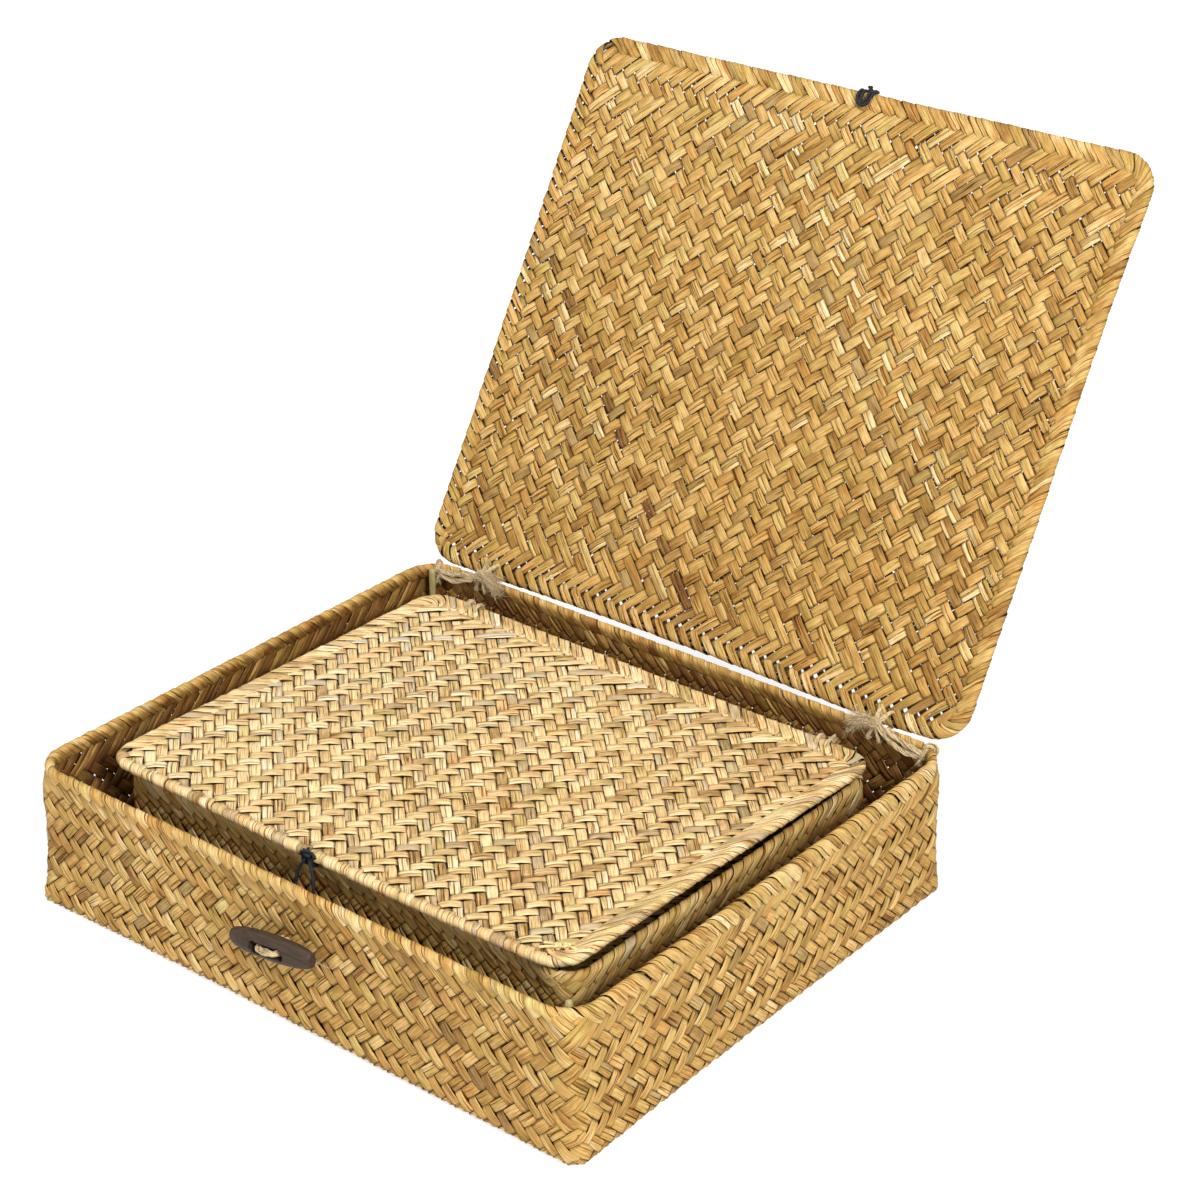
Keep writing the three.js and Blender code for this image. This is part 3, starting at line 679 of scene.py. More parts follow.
def weave_wall(box):
    """The two families of strips of a basket's walls, from under the base up into the hem. Rows of floats
    that rise right take turns with rows that rise left, and one that rises right meets the hem."""
    rim = wall_outline(box)
    count, cell = rim_cells(rim)
    row = box.height - TOP_ROW_DROP
    level = row - ROW_STEP / 4
    slope = cell / ROW_STEP

    def right_over(v, u):
        above = rim.side(u) % 2 == 1
        return np.where(v > row, above, np.mod(2 * (v - row) / ROW_STEP + 3, 4) >= 2)

    pieces = []
    for family, way in (("left", -1), ("right", 1)):
        strips = Strips(box.seed + way)
        for k in range(count):

            def place(v):
                return (k + 0.5) * cell + way * (v - level) * slope

            def over(v):
                return right_over(v, place(v)) == (way > 0)

            v, wave = weave_along(-TUCK, box.height - 1.2 * HEM_RADIUS, level, ROW_STEP / 2, over)
            u = place(v)
            reach = np.where((rim.side(u) % 2 == 0) | (rim.near_corner(u) > 0.1), 2.0, 9.5)
            width = cell / math.hypot(1, slope) * STRIP_SHARE * (1 + 0.13 * rim.near_corner(u))
            strips.add(u, v, np.where(v > box.height - reach, -0.9 - 0.1 * way, wave), width)
        name = f"{box.prefix}_basket_walls_{family}"
        # Painted shade: the inside faces of the walls are made darker.
        pieces.append(strips.mesh(name, lambda u, v: on_wall(box, rim, u, v), WALL_SECTION, inside_shade=-0.45))
    return pieces


def rim_dip(box, flat):
    """How far the rim has sunk at places seen from above: fully on the right, fading round the corners."""
    return box.rim_dip * np.clip(flat[..., 0] / (box.width / 2 - HEM_RADIUS), 0, 1) ** 8


def on_wall(box, rim, u, v):
    """Places on the middle of a wall. Below the fold the sheet turns under the base. The corners are round at
    the rim, tighter just below it and tightest at the base. The wall tapers to the base, bows in like a
    parabola between and flares at its foot, most where the front and the right side begin."""
    turn = np.clip((BASE_FOLD - v) / BASE_FOLD, 0, math.pi / 2)
    z = np.where(v > BASE_FOLD, v, BASE_FOLD * (1 - np.sin(turn)))
    inset = BASE_FOLD * (1 - np.cos(turn)) + np.maximum(BASE_FOLD - math.pi / 2 * BASE_FOLD - v, 0)
    share = np.clip(z / box.height, 0, 1)
    flare = np.clip(1 - share / 0.6, 0, 1) ** 1.3
    depth = HEM_RADIUS + (WALL_TAPER * (1 - share) + WALL_WAIST * 4 * share * (1 - share)) + inset
    wall = box.wall_corner
    corners = (BASE_CORNER, wall * 0.8, wall * 0.96, wall, (wall + box.rim_corner) / 2, box.rim_corner)
    radius = np.maximum(np.interp(share, CORNER_HEIGHT_SHARES, corners) - HEM_RADIUS - inset, 0.8)
    side = rim.side(u)
    by_start = np.clip(-rim.off(u) / (rim.sides[side] / 2), 0, 1) ** 2
    half_x = box.width / 2 - depth + (2.0 + 1.8 * np.where(side == 1, by_start, 0)) * flare
    half_y = box.depth / 2 - depth + (1.2 + 2.2 * np.where(side == 0, by_start, 0)) * flare
    flat, out = rim.place(u, (half_x, half_y, radius))
    z = z + SHEET_MIDDLE * np.clip(1 - 4 * share, 0, 1) - rim_dip(box, flat) * share**8
    return with_z(flat, z) + box.place, with_z(out * np.cos(turn)[..., None], -np.sin(turn))


def weave_flat(box, name, outline, place, is_lid, cell=CELL, first=0.0):
    """The two families of strips of a lid or a base, with columns of floats from front to back. A lid has
    rows of floats along its hems before the columns begin."""
    pitch = cell / math.sqrt(2)
    half_x, half_y = outline.half[:2]
    count = math.ceil((half_x + half_y) / cell)

    def left_over(x, y):
        field = np.mod(2 * (x - first) / cell - 0.5, 4) < 2
        front, back = half_y + y, half_y - y
        if not is_lid:
            return field
        if box.prefix == "inner":
            field = np.where(x + half_x < 5, True, field)
            return np.where(back < 15, back > 7.5, field)
        field = np.where(front < 29.8, (front < 14.6) | (front > 22.2), field)
        return np.where(back < 22.2, back < 14.6, field)

    pieces = []
    for family, way in (("left", -1), ("right", 1)):
        strips = Strips(box.seed + 7 * way)
        for k in range(-count, count):
            middle = (k + 0.5) * cell + first
            scan = np.arange(-half_x, half_x, 0.5)
            held = scan[outline.inside(scan, way * (scan - middle))]
            if len(held) < 8:
                continue

            def over(x):
                return left_over(x, way * (x - middle)) == (way < 0)

            x, wave = weave_along(held[0], held[-1], first, cell / 2, over)
            y = way * (x - middle)
            share, tone = STRIP_SHARE, 0.0
            if is_lid:
                edge = np.minimum(half_x - np.abs(x), half_y - np.abs(y))
                wave = np.where(edge < 3.4, np.clip(wave, -0.3, 0.3), wave)
                share = loosen(edge, half_y - y, box.hinge_gaps)
                # Painted shade: the lid's tone slopes evenly across and along it. It is darker towards the
                # right and, on the large lid, towards the hinge.
                tone = box.lid_shade_slopes[0] * x / half_x + box.lid_shade_slopes[1] * y / half_y
            strips.add(x, y, wave, pitch * share * np.ones(len(x)), tone=tone)
        pieces.append(strips.mesh(f"{box.prefix}_{name}_{family}", lambda x, y: place(box, x, y)))
    return pieces


def on_base(box, x, y):
    """Places on the middle of the base's sheet, which lies level."""
    points = np.stack([x, y, np.full(x.shape, SHEET_MIDDLE)], -1) + box.place
    return points, np.broadcast_to([0.0, 0.0, 1.0], points.shape)


# In the lid's own frame the origin is the hinge line, the lid lies shut along -Y and +Z is outside


def hinge_place(box):
    return np.array([0, box.depth / 2, box.height + LID_GAP / 2])


def from_lid(box, points):
    """Turns points of the lid's own frame to where the lid stands."""
    return turn_x(points, -box.open_degrees) + (hinge_place(box) + box.place)


def open_lid(box, points, normals):
    """Puts points of the lid's sheet, centred on the lid, where the lid stands, warped and askew as it is.

    The warp lifts the right with the square of the place across, the waist draws both sides in with that
    square, the bow and the tuck fade from the hinge with the sixth power of the place along, and the skew and
    the shortening grow evenly from the hinge."""
    points = points + np.array([box.lid_shift, -lid_length(box) / 2, LID_LEVEL])
    along = np.clip(-points[..., 1] / lid_length(box), 0, 1)
    across = points[..., 0] / (box.width / 2)
    rise = np.clip(across, 0, 1) ** 2
    bow = np.clip(1 - (points[..., 0] / (box.width / 2 - box.tie_inset)) ** 2, 0, 1)
    right, left, least = box.lid_waist
    waist = np.where(across > 0, -right, left) * across**2 * np.clip(4 - 4 * along, least, 1)
    end = np.clip((points[..., 0] - box.width / 2) / box.tie_inset + 1, 0, 1)
    points[..., 1] += box.lid_short * along - (box.lid_bow * bow + box.lid_tuck * end) * (1 - along) ** 6
    points[..., 0] += box.lid_skew * along + waist
    warp = box.lid_warp * rise * np.minimum(1, 1.8 * along)
    points[..., 2] += warp + box.lid_lift * (0.5 - 0.5 * across) * along
    return from_lid(box, points), turn_x(normals, -box.open_degrees)


def on_lid(box, x, y):
    """Places on the middle of the lid's sheet. Its chart is flat and is seen from the inside of the lid."""
    points = np.stack([x, y, np.zeros(x.shape)], -1)
    return open_lid(box, points, np.broadcast_to([0.0, 0.0, -1.0], points.shape))


# Hems: strips wound over the hoop at a slant, each lapping the next


class HemPath:
    """The line that a wrapped strip follows across the hem, seen along the edge. Its places are (towards the
    face it starts on, towards the crest) from the hoop. Lengths run from the start face over the crest."""

    def __init__(self, roll, first_reach, last_reach, lift):
        arc = [(roll * math.cos(a), roll * math.sin(a)) for a in np.linspace(0.1, math.pi - 0.1, 9)]
        start = [(-0.4, -first_reach - 2.5), (lift - 0.2, -first_reach), (lift, -0.55 * first_reach)]
        end = [(-x, y * last_reach / first_reach) for x, y in reversed(start)]
        knots = np.array(start + arc + end)
        lengths = running(np.hypot(*np.diff(knots, axis=0).T))
        self.q = np.linspace(0, lengths[-1], 160)
        self.across = np.interp(self.q, lengths, knots[:, 0])
        self.along = np.interp(self.q, lengths, knots[:, 1])
        turn = np.unwrap(np.arctan2(np.gradient(self.along), np.gradient(self.across)))
        self.turn = np.convolve(np.pad(turn, 4, "edge"), np.ones(9) / 9, "valid")
        self.length = lengths[-1]
        self.crest = self.q[self.along.argmax()]

    def place(self, q):
        """Places across and along the hem for lengths q, and the two parts of the direction off its face."""
        turn = np.interp(q, self.q, self.turn)
        across, along = np.interp(q, self.q, self.across), np.interp(q, self.q, self.along)
        return across, along, np.sin(turn), -np.cos(turn)


def wrap_hem(box, name, outline, path, to_place, wraps, seed, shift, anchor, tilt, tone, inner_shade):
    """One strip for each cell of the weave, wound over the hoop at a slant, as the table of wraps has it for
    each side. Its ends are rounded and dip. At the anchor, a length over the hem, they are evenly spaced."""
    count, cell = rim_cells(outline)
    strips = Strips(box.seed + seed)
    for k in range(count):
        middle = (k + 0.5) * cell
        slant, share, cut_start, cut_end, tip = wraps[outline.side(middle)]
        low = 0.6 + cut_start + strips.rng.uniform(0, 0.8)
        high = path.length - 0.6 - cut_end - strips.rng.uniform(0, 0.6)
        q = np.linspace(low, high, 20)
        ends = np.clip(np.minimum(q - low, high - q) / 2.4, 0, 1)
        width = cell / math.hypot(1, slant) * share * (tip + (1 - tip) * np.sqrt(ends))
        # Painted shade: from the crest on, over the inside of the hem, the tone falls by the inner shade.
        tones = tone + inner_shade * np.clip((q - path.crest) / 4, 0, 1)
        strips.add(middle + shift - slant * (q - anchor), q, 0.3 + 0.7 * ends, width, WRAP_WAVE, tilt, tones)

    def place(u, q):
        return to_place(box, *outline.place(u), *path.place(q))

    return strips.mesh(f"{box.prefix}_{name}", place, WRAP_SECTION, WRAP_STRIP)


def on_basket_hem(box, edge, out, across, along, across_normal, along_normal):
    """Places on a basket's hem: out from the rim's line by the place across it, and up by the place along."""
    flat = edge + out * across[..., None]
    z = box.height - HEM_RADIUS + along - rim_dip(box, flat)
    return with_z(flat, z) + box.place, with_z(out * across_normal[..., None], along_normal)


def on_lid_hem(box, edge, out, across, along, across_normal, along_normal):
    """Places on a lid's hem: out from the edge's line by the place along it, inside by the place across."""
    points = with_z(edge + out * along[..., None], -across)
    return open_lid(box, points, with_z(out * along_normal[..., None], -across_normal))


# Threads: twine, cord, hoops and loose fibres


def smooth(points, step):
    """A Catmull-Rom curve through the points, at even steps."""
    p = np.array(points, float)
    ends = np.concatenate([[2 * p[0] - p[1]], p, [2 * p[-1] - p[-2]]])
    t = np.linspace(0, 1, 16, endpoint=False)[:, None]
    a, b, c, d = (ends[i : len(p) - 1 + i, None] for i in range(4))
    curve = b + 0.5 * t * (c - a + t * (2 * a - 5 * b + 4 * c - d + t * (3 * b - a - 3 * c + d)))
    curve = np.concatenate([curve.reshape(-1, 3), p[-1:]])
    lengths = running(steps_of(curve))
    even = np.linspace(0, lengths[-1], max(2, round(lengths[-1] / step) + 1))
    return np.stack([np.interp(even, lengths, curve[:, i]) for i in range(3)], -1)


# Sixty ways spread evenly over a half sphere, on a spiral

GOLDEN_TURN = math.pi * (3 - math.sqrt(5))
WAY_NUMBERS = np.arange(60) + 0.5
WAY_RADII = np.sqrt(1 - (WAY_NUMBERS / 60) ** 2)
WAY_TURNS = GOLDEN_TURN * WAY_NUMBERS
WAYS = np.stack([WAY_RADII * np.cos(WAY_TURNS), WAY_RADII * np.sin(WAY_TURNS), WAY_NUMBERS / 60], -1)


def square_to(line):
    """Two directions square to a line at each point, counted from the way that the line avoids most."""
    tangent = np.gradient(line, axis=0)
    tangent /= np.linalg.norm(tangent, axis=1, keepdims=True)
    clear = np.linalg.norm(np.cross(tangent[:, None], WAYS), axis=2).min(0)
    first = np.cross(tangent, WAYS[clear.argmax()])
    first /= np.linalg.norm(first, axis=1, keepdims=True)
    return first, np.cross(tangent, first)


class Threads:
    """Gathers threads, each a line with a radius, and turns them into one mesh."""

    def __init__(self, seed, sides):
        self.rng = np.random.default_rng(seed)
        self.turn = 2 * math.pi * np.arange(sides) / sides
        self.runs = []

    def add(self, line, radius, strands=0, lay=5.0, tone=0.5):
        """A plain round thread, or one laid from strands that turn once in each lay. In every direction the
        section reaches as far as the circle of the nearest strand does."""
        along = running(steps_of(line))
        radius = radius * np.ones(len(line))
        shape = np.ones((len(line), len(self.turn)))
        if strands:
            off = (self.turn - 2 * math.pi * along[:, None] / lay) * strands
            off = (np.mod(off + math.pi, 2 * math.pi) - math.pi) / strands
            circle = 0.6 if strands == 2 else 0.55
            shape = (1 - circle) * np.cos(off) + np.sqrt(circle**2 - ((1 - circle) * np.sin(off)) ** 2)
        first, second = square_to(line)
        around = np.cos(self.turn)[:, None] * first[:, None] + np.sin(self.turn)[:, None] * second[:, None]
        girth = 2 * math.pi * radius.mean()
        self.runs.append(
            dict(
                points=line[:, None] + (radius[:, None] * shape)[..., None] * around,
                along=along,
                across=np.tile(np.linspace(0, girth, len(self.turn) + 1), (len(line), 1)),
                # Painted shade: a laid thread is darker in the grooves between its strands and a little paler
                # on their crowns.
                tone=(tone + (shape - 0.85) * (0.9 if strands else 0)).ravel(),
            )
        )

    def bundle(self, points, radius, yarns, tone, size, lay=16.0):
        """Loosely twisted yarns: each keeps its place in the bundle, turns slowly round it and wanders."""
        line = smooth(points, 0.6)
        first, second = square_to(line)
        along = np.linspace(0, 1, len(line))
        turn = 2 * math.pi * 0.6 * np.arange(len(line)) / lay
        for k in range(yarns):
            out = radius * math.sqrt((k + 0.5) / yarns) * 0.85
            knots = self.rng.normal(0, 0.22 * radius, (2, 9))
            angle = turn + k * GOLDEN_TURN
            a = out * np.cos(angle) + np.interp(along, np.linspace(0, 1, 9), knots[0])
            b = out * np.sin(angle) + np.interp(along, np.linspace(0, 1, 9), knots[1])
            yarn = line + a[:, None] * first + b[:, None] * second
            self.add(yarn, size * self.rng.uniform(0.7, 1.2), tone=tone + self.rng.normal(0, 0.16))
        return line

    def laid(self, points, radius, strands, lay, tone):
        """A short laid thread with narrow tips."""
        line = smooth(points, 0.4)
        ends = np.minimum(np.arange(len(line)), np.arange(len(line))[::-1])
        self.add(line, radius * np.where(ends == 0, 0.6, 1.0), strands, lay, tone)
        return line

    def hairs(self, line, radius, count, length, size, tone):
        """Loose fibres: each leaves the line's surface near its own way and curls off in an arc."""
        t = np.linspace(0, 1, 5)[:, None]
        for start, step in zip(self.rng.integers(1, len(line) - 1, count), self.rng.choice([-1, 1], count)):
            tangent = (line[start + 1] - line[start - 1]) * step
            tangent = tangent / np.linalg.norm(tangent)
            way = self.rng.normal(size=3)
            way /= np.linalg.norm(way)
            heading = way * HAIR_OUT_SHARE + tangent * (1 - HAIR_OUT_SHARE)
            reach = length * self.rng.uniform(0.35, 1)
            curl = self.rng.normal(0, 0.45, 3) * reach
            hair = line[start] + way * radius * 0.6 + heading * t * reach + curl * t**2
            self.add(hair, size * np.linspace(1, 0.35, 5), tone=tone + self.rng.normal(0, 0.15))

    def fray(self, line, count, spread, size, tone):
        """A thread's end untwisted: its yarns fan out from where it starts and wave."""
        t = np.linspace(0, 1, len(line))[:, None]
        first, second = square_to(line)
        for k in range(count):
            angle = k * GOLDEN_TURN
            away = spread * math.sqrt((k + 0.5) / count) * t[:, 0] ** 1.2
            wave = self.rng.normal(0, 0.3 * spread, (2, 1)) * t.T
            wave = wave * np.sin(t.T * self.rng.uniform(3, 10, (2, 1)))
            a = math.cos(angle) * away + wave[0]
            b = math.sin(angle) * away + wave[1]
            stop = len(line) - int(self.rng.integers(0, max(2, len(line) // 2)))
            yarn = (line + a[:, None] * first + b[:, None] * second)[:stop]
            self.add(yarn, size * np.linspace(1, 0.5, len(yarn)), tone=tone + self.rng.normal(0, 0.18))

    def mesh(self, name):
        whole = {key: np.concatenate([run[key] for run in self.runs]) for key in self.runs[0]}
        sizes = np.array([len(run["points"]) for run in self.runs])
        charts = whole["along"], whole["across"]
        return ring_mesh(name, whole["points"], sizes, *charts, {"tone": whole["tone"]})


def knot_line(place, width, height, thick, turn=0.0):
    """A trefoil knot: a line that winds twice round a ring and goes three times round the ring's body."""
    t = np.linspace(0, 2 * math.pi, 70)[:-2]
    ring = 1 + 0.42 * np.cos(3 * t)
    x, y, z = width * ring * np.cos(2 * t), height * ring * np.sin(2 * t), thick * np.sin(3 * t)
    return turn_x(np.stack([x, y, z], -1), turn) + place


# Hinge ties


def rim_axis(box):
    return np.array([0, box.depth / 2 - HEM_RADIUS, box.height - HEM_RADIUS])


def tie_knot_place(box, side):
    """The knot hangs free of both hems: above the rim when the lid stands open, below it when it is shut."""
    turn = math.radians(122 if box.open_degrees > 0 else 188)
    reach = HEM_RADIUS + SEAT + TIE_KNOT_RADIUS * 1.4
    rim = rim_axis(box)
    x = side * (box.width / 2 - box.tie_inset)
    return np.array([x, rim[1] + reach * math.cos(turn), rim[2] + reach * math.sin(turn)])


def tie_stitches(box, side):
    """The lines of two stitches from the knot round the lid's hem and the rim and back, seen from the box."""
    reach = HEM_RADIUS + SEAT + TWINE_RADIUS
    knot = tie_knot_place(box, side)
    ways = [0, -1, 0], [0, 0, -1], [0, -HEM_RADIUS, LID_LEVEL]
    along, inside, lid = (turn_x(way, -box.open_degrees) for way in ways)
    rim = rim_axis(box)
    lid = lid + hinge_place(box)
    lines = []
    for share in (-0.5, 0.5):
        x = np.array([knot[0] + share * STITCH_PITCH, 0, 0])
        over_lid = [(1, 1), (1, 0), (0.8, -1), (-0.5, -1)]
        under_rim = [(1, 0), (0.8, -1), (0, -1), (-1, -1), (-1.2, -0.5)]
        line = [x + lid + along * reach * a + inside * reach * b for a, b in over_lid]
        line += [x + rim + [0, reach * a, reach * b] for a, b in under_rim]
        lines.append([knot, *line, knot])
    return lines


def tie_anchor(box, side):
    """Two runs from the knot along the rim to a turn round the hem near the corner."""
    reach = HEM_RADIUS + SEAT + TWINE_RADIUS
    turn = -side * math.radians(ANCHOR_DEGREES)
    out = np.array([-math.sin(turn), math.cos(turn), 0])
    rim = rim_axis(box)
    corner = np.array([side * (box.width / 2 - box.rim_corner), box.depth / 2 - box.rim_corner, rim[2]])
    axis = corner + out * (box.rim_corner - HEM_RADIUS)
    knot = tie_knot_place(box, side)
    angles = np.radians([170, 120, 70, 20, -30, -90, -150])
    round_hem = [axis + out * reach * math.cos(a) + np.array([0, 0, reach * math.sin(a)]) for a in angles]
    run = np.array([(axis[0] + knot[0]) / 2, rim[1] - reach * 1.3, rim[2] + reach / 2])
    return [knot, run, *round_hem, run - [0, reach / 4, reach], knot]


def make_ties(box):
    """A tie for each hand, of loosely twisted jute: stitches, a knot, frayed tails, loose fibres all over."""
    for hand, side in (("left", -1), ("right", 1)):
        jute = Threads(box.seed + 200 + side, 6)
        fuzz = Threads(box.seed + 210 + side, 4)
        knot = tie_knot_place(box, side) + box.place
        stitches = tie_stitches(box, side)
        lines = [jute.bundle(np.array(line) + box.place, 0.9, 14, 0.62, 0.2) for line in stitches]
        if box.anchored:
            lines.append(jute.bundle(np.array(tie_anchor(box, side)) + box.place, 1.35, 18, 0.56, 0.25))
        for turn in (25, 70, 110):
            lines.append(jute.bundle(knot_line(knot, 1.9, 1.5, 1.1, turn), 1.0, 9, 0.55, 0.22))
        for tail in ANCHORED_TAILS if box.anchored else PLAIN_TAILS:
            line = smooth([knot, *(knot + [-side * TIE_TAIL_REACH * x, y, z] for x, y, z in tail)], 0.7)
            fuzz.fray(line, 44, 3.0, 0.13, 0.60)
            fuzz.hairs(line, 1.8, 170, 4.6, 0.07, 0.66)
        if box.anchored:
            end = tie_anchor(box, side)[8] + box.place
            line = smooth([end, end + [-side * 0.8, -1.2, -2.2], end + [-side * 1.4, -1.6, -5.4]], 0.7)
            fuzz.fray(line, 24, 2.0, 0.15, 0.6)
        for line in lines:
            fuzz.hairs(line, 1.0, round(len(line) * 2.0), 3.6, 0.06, 0.66)
        name = f"{box.prefix}_tie_{hand}"
        for piece in (jute.mesh(name), fuzz.mesh(f"{name}_fibres")):
            piece.data.materials.append(LOOKS["twine"])
            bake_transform(piece)
            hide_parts(f"{box.prefix}_hinge_tie_{hand}")


# Toggle

TOGGLE_HALF = 25
TOGGLE_DEPTH = 9.4
TOGGLE_FLATNESS = TOGGLE_DEPTH / 13
TOGGLE_TILT = 8
TOGGLE_SIDES = 48
TOGGLE_HOLE = 3.2
TOGGLE_HOLE_SPACING = 15
TOGGLE_GROOVE = 4.6
TOGGLE_LEG = 8.9

# Half of the barrel from its end to its middle: place as a share of its half length, and radius

TOGGLE_PROFILE = (
    (0.99, 3.1), (0.96, 3.75), (0.88, 4.6), (0.7, 5.55), (0.45, 6.2), (0.2, 6.45), (0.0, 6.5),
)
TOGGLE_END = (1.0, 2.75)


def toggle_to_row(box, points):
    """From the toggle's own frame, its middle at its back, tilted to the wall."""
    angle = math.radians(TOGGLE_TILT)
    cos, sin = math.cos(angle), math.sin(angle)
    return np.asarray(points, float) @ np.array([[cos, 0, sin], [0, 1, 0], [-sin, 0, cos]]) + box.toggle_place


def make_toggle(box):
    """A turned barrel, flattened front to back, with two holes and a groove between them."""
    half = np.array([TOGGLE_END, *TOGGLE_PROFILE])
    profile = np.concatenate([half, (half * [-1, 1])[::-1][1:]])
    turn = 2 * math.pi * np.arange(TOGGLE_SIDES) / TOGGLE_SIDES
    x = np.repeat(profile[:, 0] * TOGGLE_HALF, TOGGLE_SIDES).reshape(-1, TOGGLE_SIDES)
    radius = profile[:, 1, None]
    y = radius * np.cos(turn) * TOGGLE_FLATNESS - TOGGLE_DEPTH / 2
    rings = np.stack([x, y, radius * np.sin(turn)], -1)
    count = len(rings)
    a = np.arange(count - 1)[:, None] * TOGGLE_SIDES + np.arange(TOGGLE_SIDES)
    b = np.arange(count - 1)[:, None] * TOGGLE_SIDES + (np.arange(TOGGLE_SIDES) + 1) % TOGGLE_SIDES
    faces = np.stack([a, b, b + TOGGLE_SIDES, a + TOGGLE_SIDES], -1).reshape(-1, 4).tolist()
    faces.append(list(range(TOGGLE_SIDES))[::-1])
    faces.append([(count - 1) * TOGGLE_SIDES + i for i in range(TOGGLE_SIDES)])
    mesh = bpy.data.meshes.new(f"{box.prefix}_toggle_body")
    mesh.from_pydata(rings.reshape(-1, 3).tolist(), [], faces)
    body = put(f"{box.prefix}_toggle_body", mesh)
    tools = []
    for way in (-1, 1):
        bpy.ops.mesh.primitive_cylinder_add(
            vertices=40, radius=TOGGLE_HOLE, depth=30, rotation=(math.pi / 2, 0, 0),
            location=(way * TOGGLE_HOLE_SPACING / 2, -TOGGLE_DEPTH / 2, 0),
        )
        tools.append(bpy.context.object)
    groove = (TOGGLE_HOLE_SPACING, TOGGLE_GROOVE, 1.8 * TOGGLE_HOLE)
    bpy.ops.mesh.primitive_cube_add(size=1, location=(0, -TOGGLE_DEPTH, 0), scale=groove)
    tools.append(bpy.context.object)
    for tool in tools:
        cut = body.modifiers.new("cut", "BOOLEAN")
        cut.operation = "DIFFERENCE"
        cut.object = tool
    bevel = body.modifiers.new("soft_edges", "BEVEL")
    bevel.width = 0.5
    bevel.segments = 3
    bevel.limit_method = "ANGLE"
    bevel.angle_limit = math.radians(40)
    bpy.context.view_layer.update()
    shaped = bpy.data.meshes.new_from_object(body.evaluated_get(bpy.context.evaluated_depsgraph_get()))
    places = toggle_to_row(box, vertex_places(shaped)) * MM
    shaped.vertices.foreach_set("co", places.astype(np.float32).ravel())
    for made in (body, *tools):
        bpy.data.objects.remove(made)
    shaped.shade_smooth()
    shaped.set_sharp_from_angle(angle=math.radians(50))
    dress(box, "toggle", "toggle", "toggle", put(f"{box.prefix}_toggle_turned", shaped))


def vertex_places(mesh):
    places = np.zeros(len(mesh.vertices) * 3)
    mesh.vertices.foreach_get("co", places)
    return places.reshape(-1, 3)


def make_toggle_twine(box):
    """Twine from a knot inside the wall out through one hole, along the groove and back by the other."""
    near, far = TOGGLE_TWINE_RADIUS + SEAT / 2, TOGGLE_HOLE_SPACING / 2 - 1.2
    leg = [(near, TOGGLE_LEG, 0), (near, 6.2, 0), (near, 2.8, 0)]
    leg += [(far, 0, 0), (far, -4.7, 0), (far * 0.85, -8.0, 0)]
    front = -TOGGLE_DEPTH + 0.5
    points = [(-x, y, z) for x, y, z in leg] + [(-far / 2, front, 0), (far / 2, front, 0)] + leg[::-1]
    cords = Threads(box.seed + 300, 12)
    strand = cords.bundle(toggle_to_row(box, points), 1.45, 26, 0.60, 0.25, 13.0)
    knot = toggle_to_row(box, [0, TOGGLE_LEG + TIE_KNOT_RADIUS / 2, 0])
    cords.add(knot_line(knot, 2.2, 1.0, 1.6), TWINE_RADIUS, 2, 4.0, 0.6)
    tail = cords.laid(knot + np.array([(0, 0, 0), (0.3, TIE_KNOT_RADIUS, 12), (1, 0, 24)]), *TWINE)
    fuzz = Threads(box.seed + 310, 4)
    fuzz.hairs(strand, TOGGLE_TWINE_RADIUS, 110, 2.4, 0.06, 0.85)
    fuzz.hairs(tail, TWINE_RADIUS, 50, 2.4, 0.06, 0.85)
    loose = toggle_to_row(box, [(7.5, 1.6, -1), (16, 1.8, -4.2), (24, 2.0, -5.6), (29, 1.8, -5.0)])
    fuzz.fray(smooth(loose, 0.8), 5, 1.3, 0.16, 0.85)
    pieces = cords.mesh(f"{box.prefix}_toggle_cord"), fuzz.mesh(f"{box.prefix}_toggle_cord_fibres")
    dress(box, "toggle", "toggle_twine", "twine", *pieces)


# Cord loops


def loop_line(box):
    """The loop's route in its own frame: it hangs along -Z from the knot's axis and sets in by its bend. Its
    two sides part as a power of the share of the drop."""
    start = CORD_KNOT_RADIUS + SEAT
    clear = 2 * HEM_RADIUS + CORD_KNOT_RADIUS
    middle = LOOP_DROP - LOOP_HALF_WIDTH - CORD_RADIUS
    share = np.array([0, 0.12, 0.3, 0.5, 0.7, 0.85])
    drop = start + (middle - start) * share
    lean = np.clip((drop - clear) / (middle * 0.8 - clear), 0, 1)
    inward = box.loop_bend * lean**2 * (3 - 2 * lean)
    swell = share ** box.loop_swell[0]
    side = np.stack([CORD_RADIUS * 1.3 + (LOOP_HALF_WIDTH - CORD_RADIUS * 1.3) * swell, inward, -drop], -1)
    angle = np.radians([0, 30, 60, 90])
    x, z = LOOP_HALF_WIDTH * np.cos(angle), -middle - LOOP_HALF_WIDTH * np.sin(angle)
    right = np.concatenate([side, np.stack([x, np.full(4, box.loop_bend), z], -1)])
    line = np.concatenate([right, right[-2::-1] * [-1, 1, 1]])
    sway = np.clip(-line[:, 2] / LOOP_DROP, 0, 1)
    line[:, 0] += box.loop_swell[1] * 4 * sway * (1 - sway)
    rise = np.clip(1 + (line[:, 2] + start) / 12, 0, 1)[:, None] ** 2
    return line + rise * np.array(box.knot_rise)


def make_loop(box):
    """A laid cord along the loop's route, both ends in the knot."""
    line = smooth(turn_x(loop_line(box), box.loop_turn) + box.loop_place, CURVE_STEP)
    cords = Threads(box.seed + 400, 12)
    cords.add(line, *CORD)
    piece = cords.mesh(f"{box.prefix}_loop_cord")
    length = steps_of(line).sum() * MM
    dress(box, "loop", "loop", "cord", piece)


# The knot's turns round the hem: angles, and shares of their reach, their slip to the sides and their bight

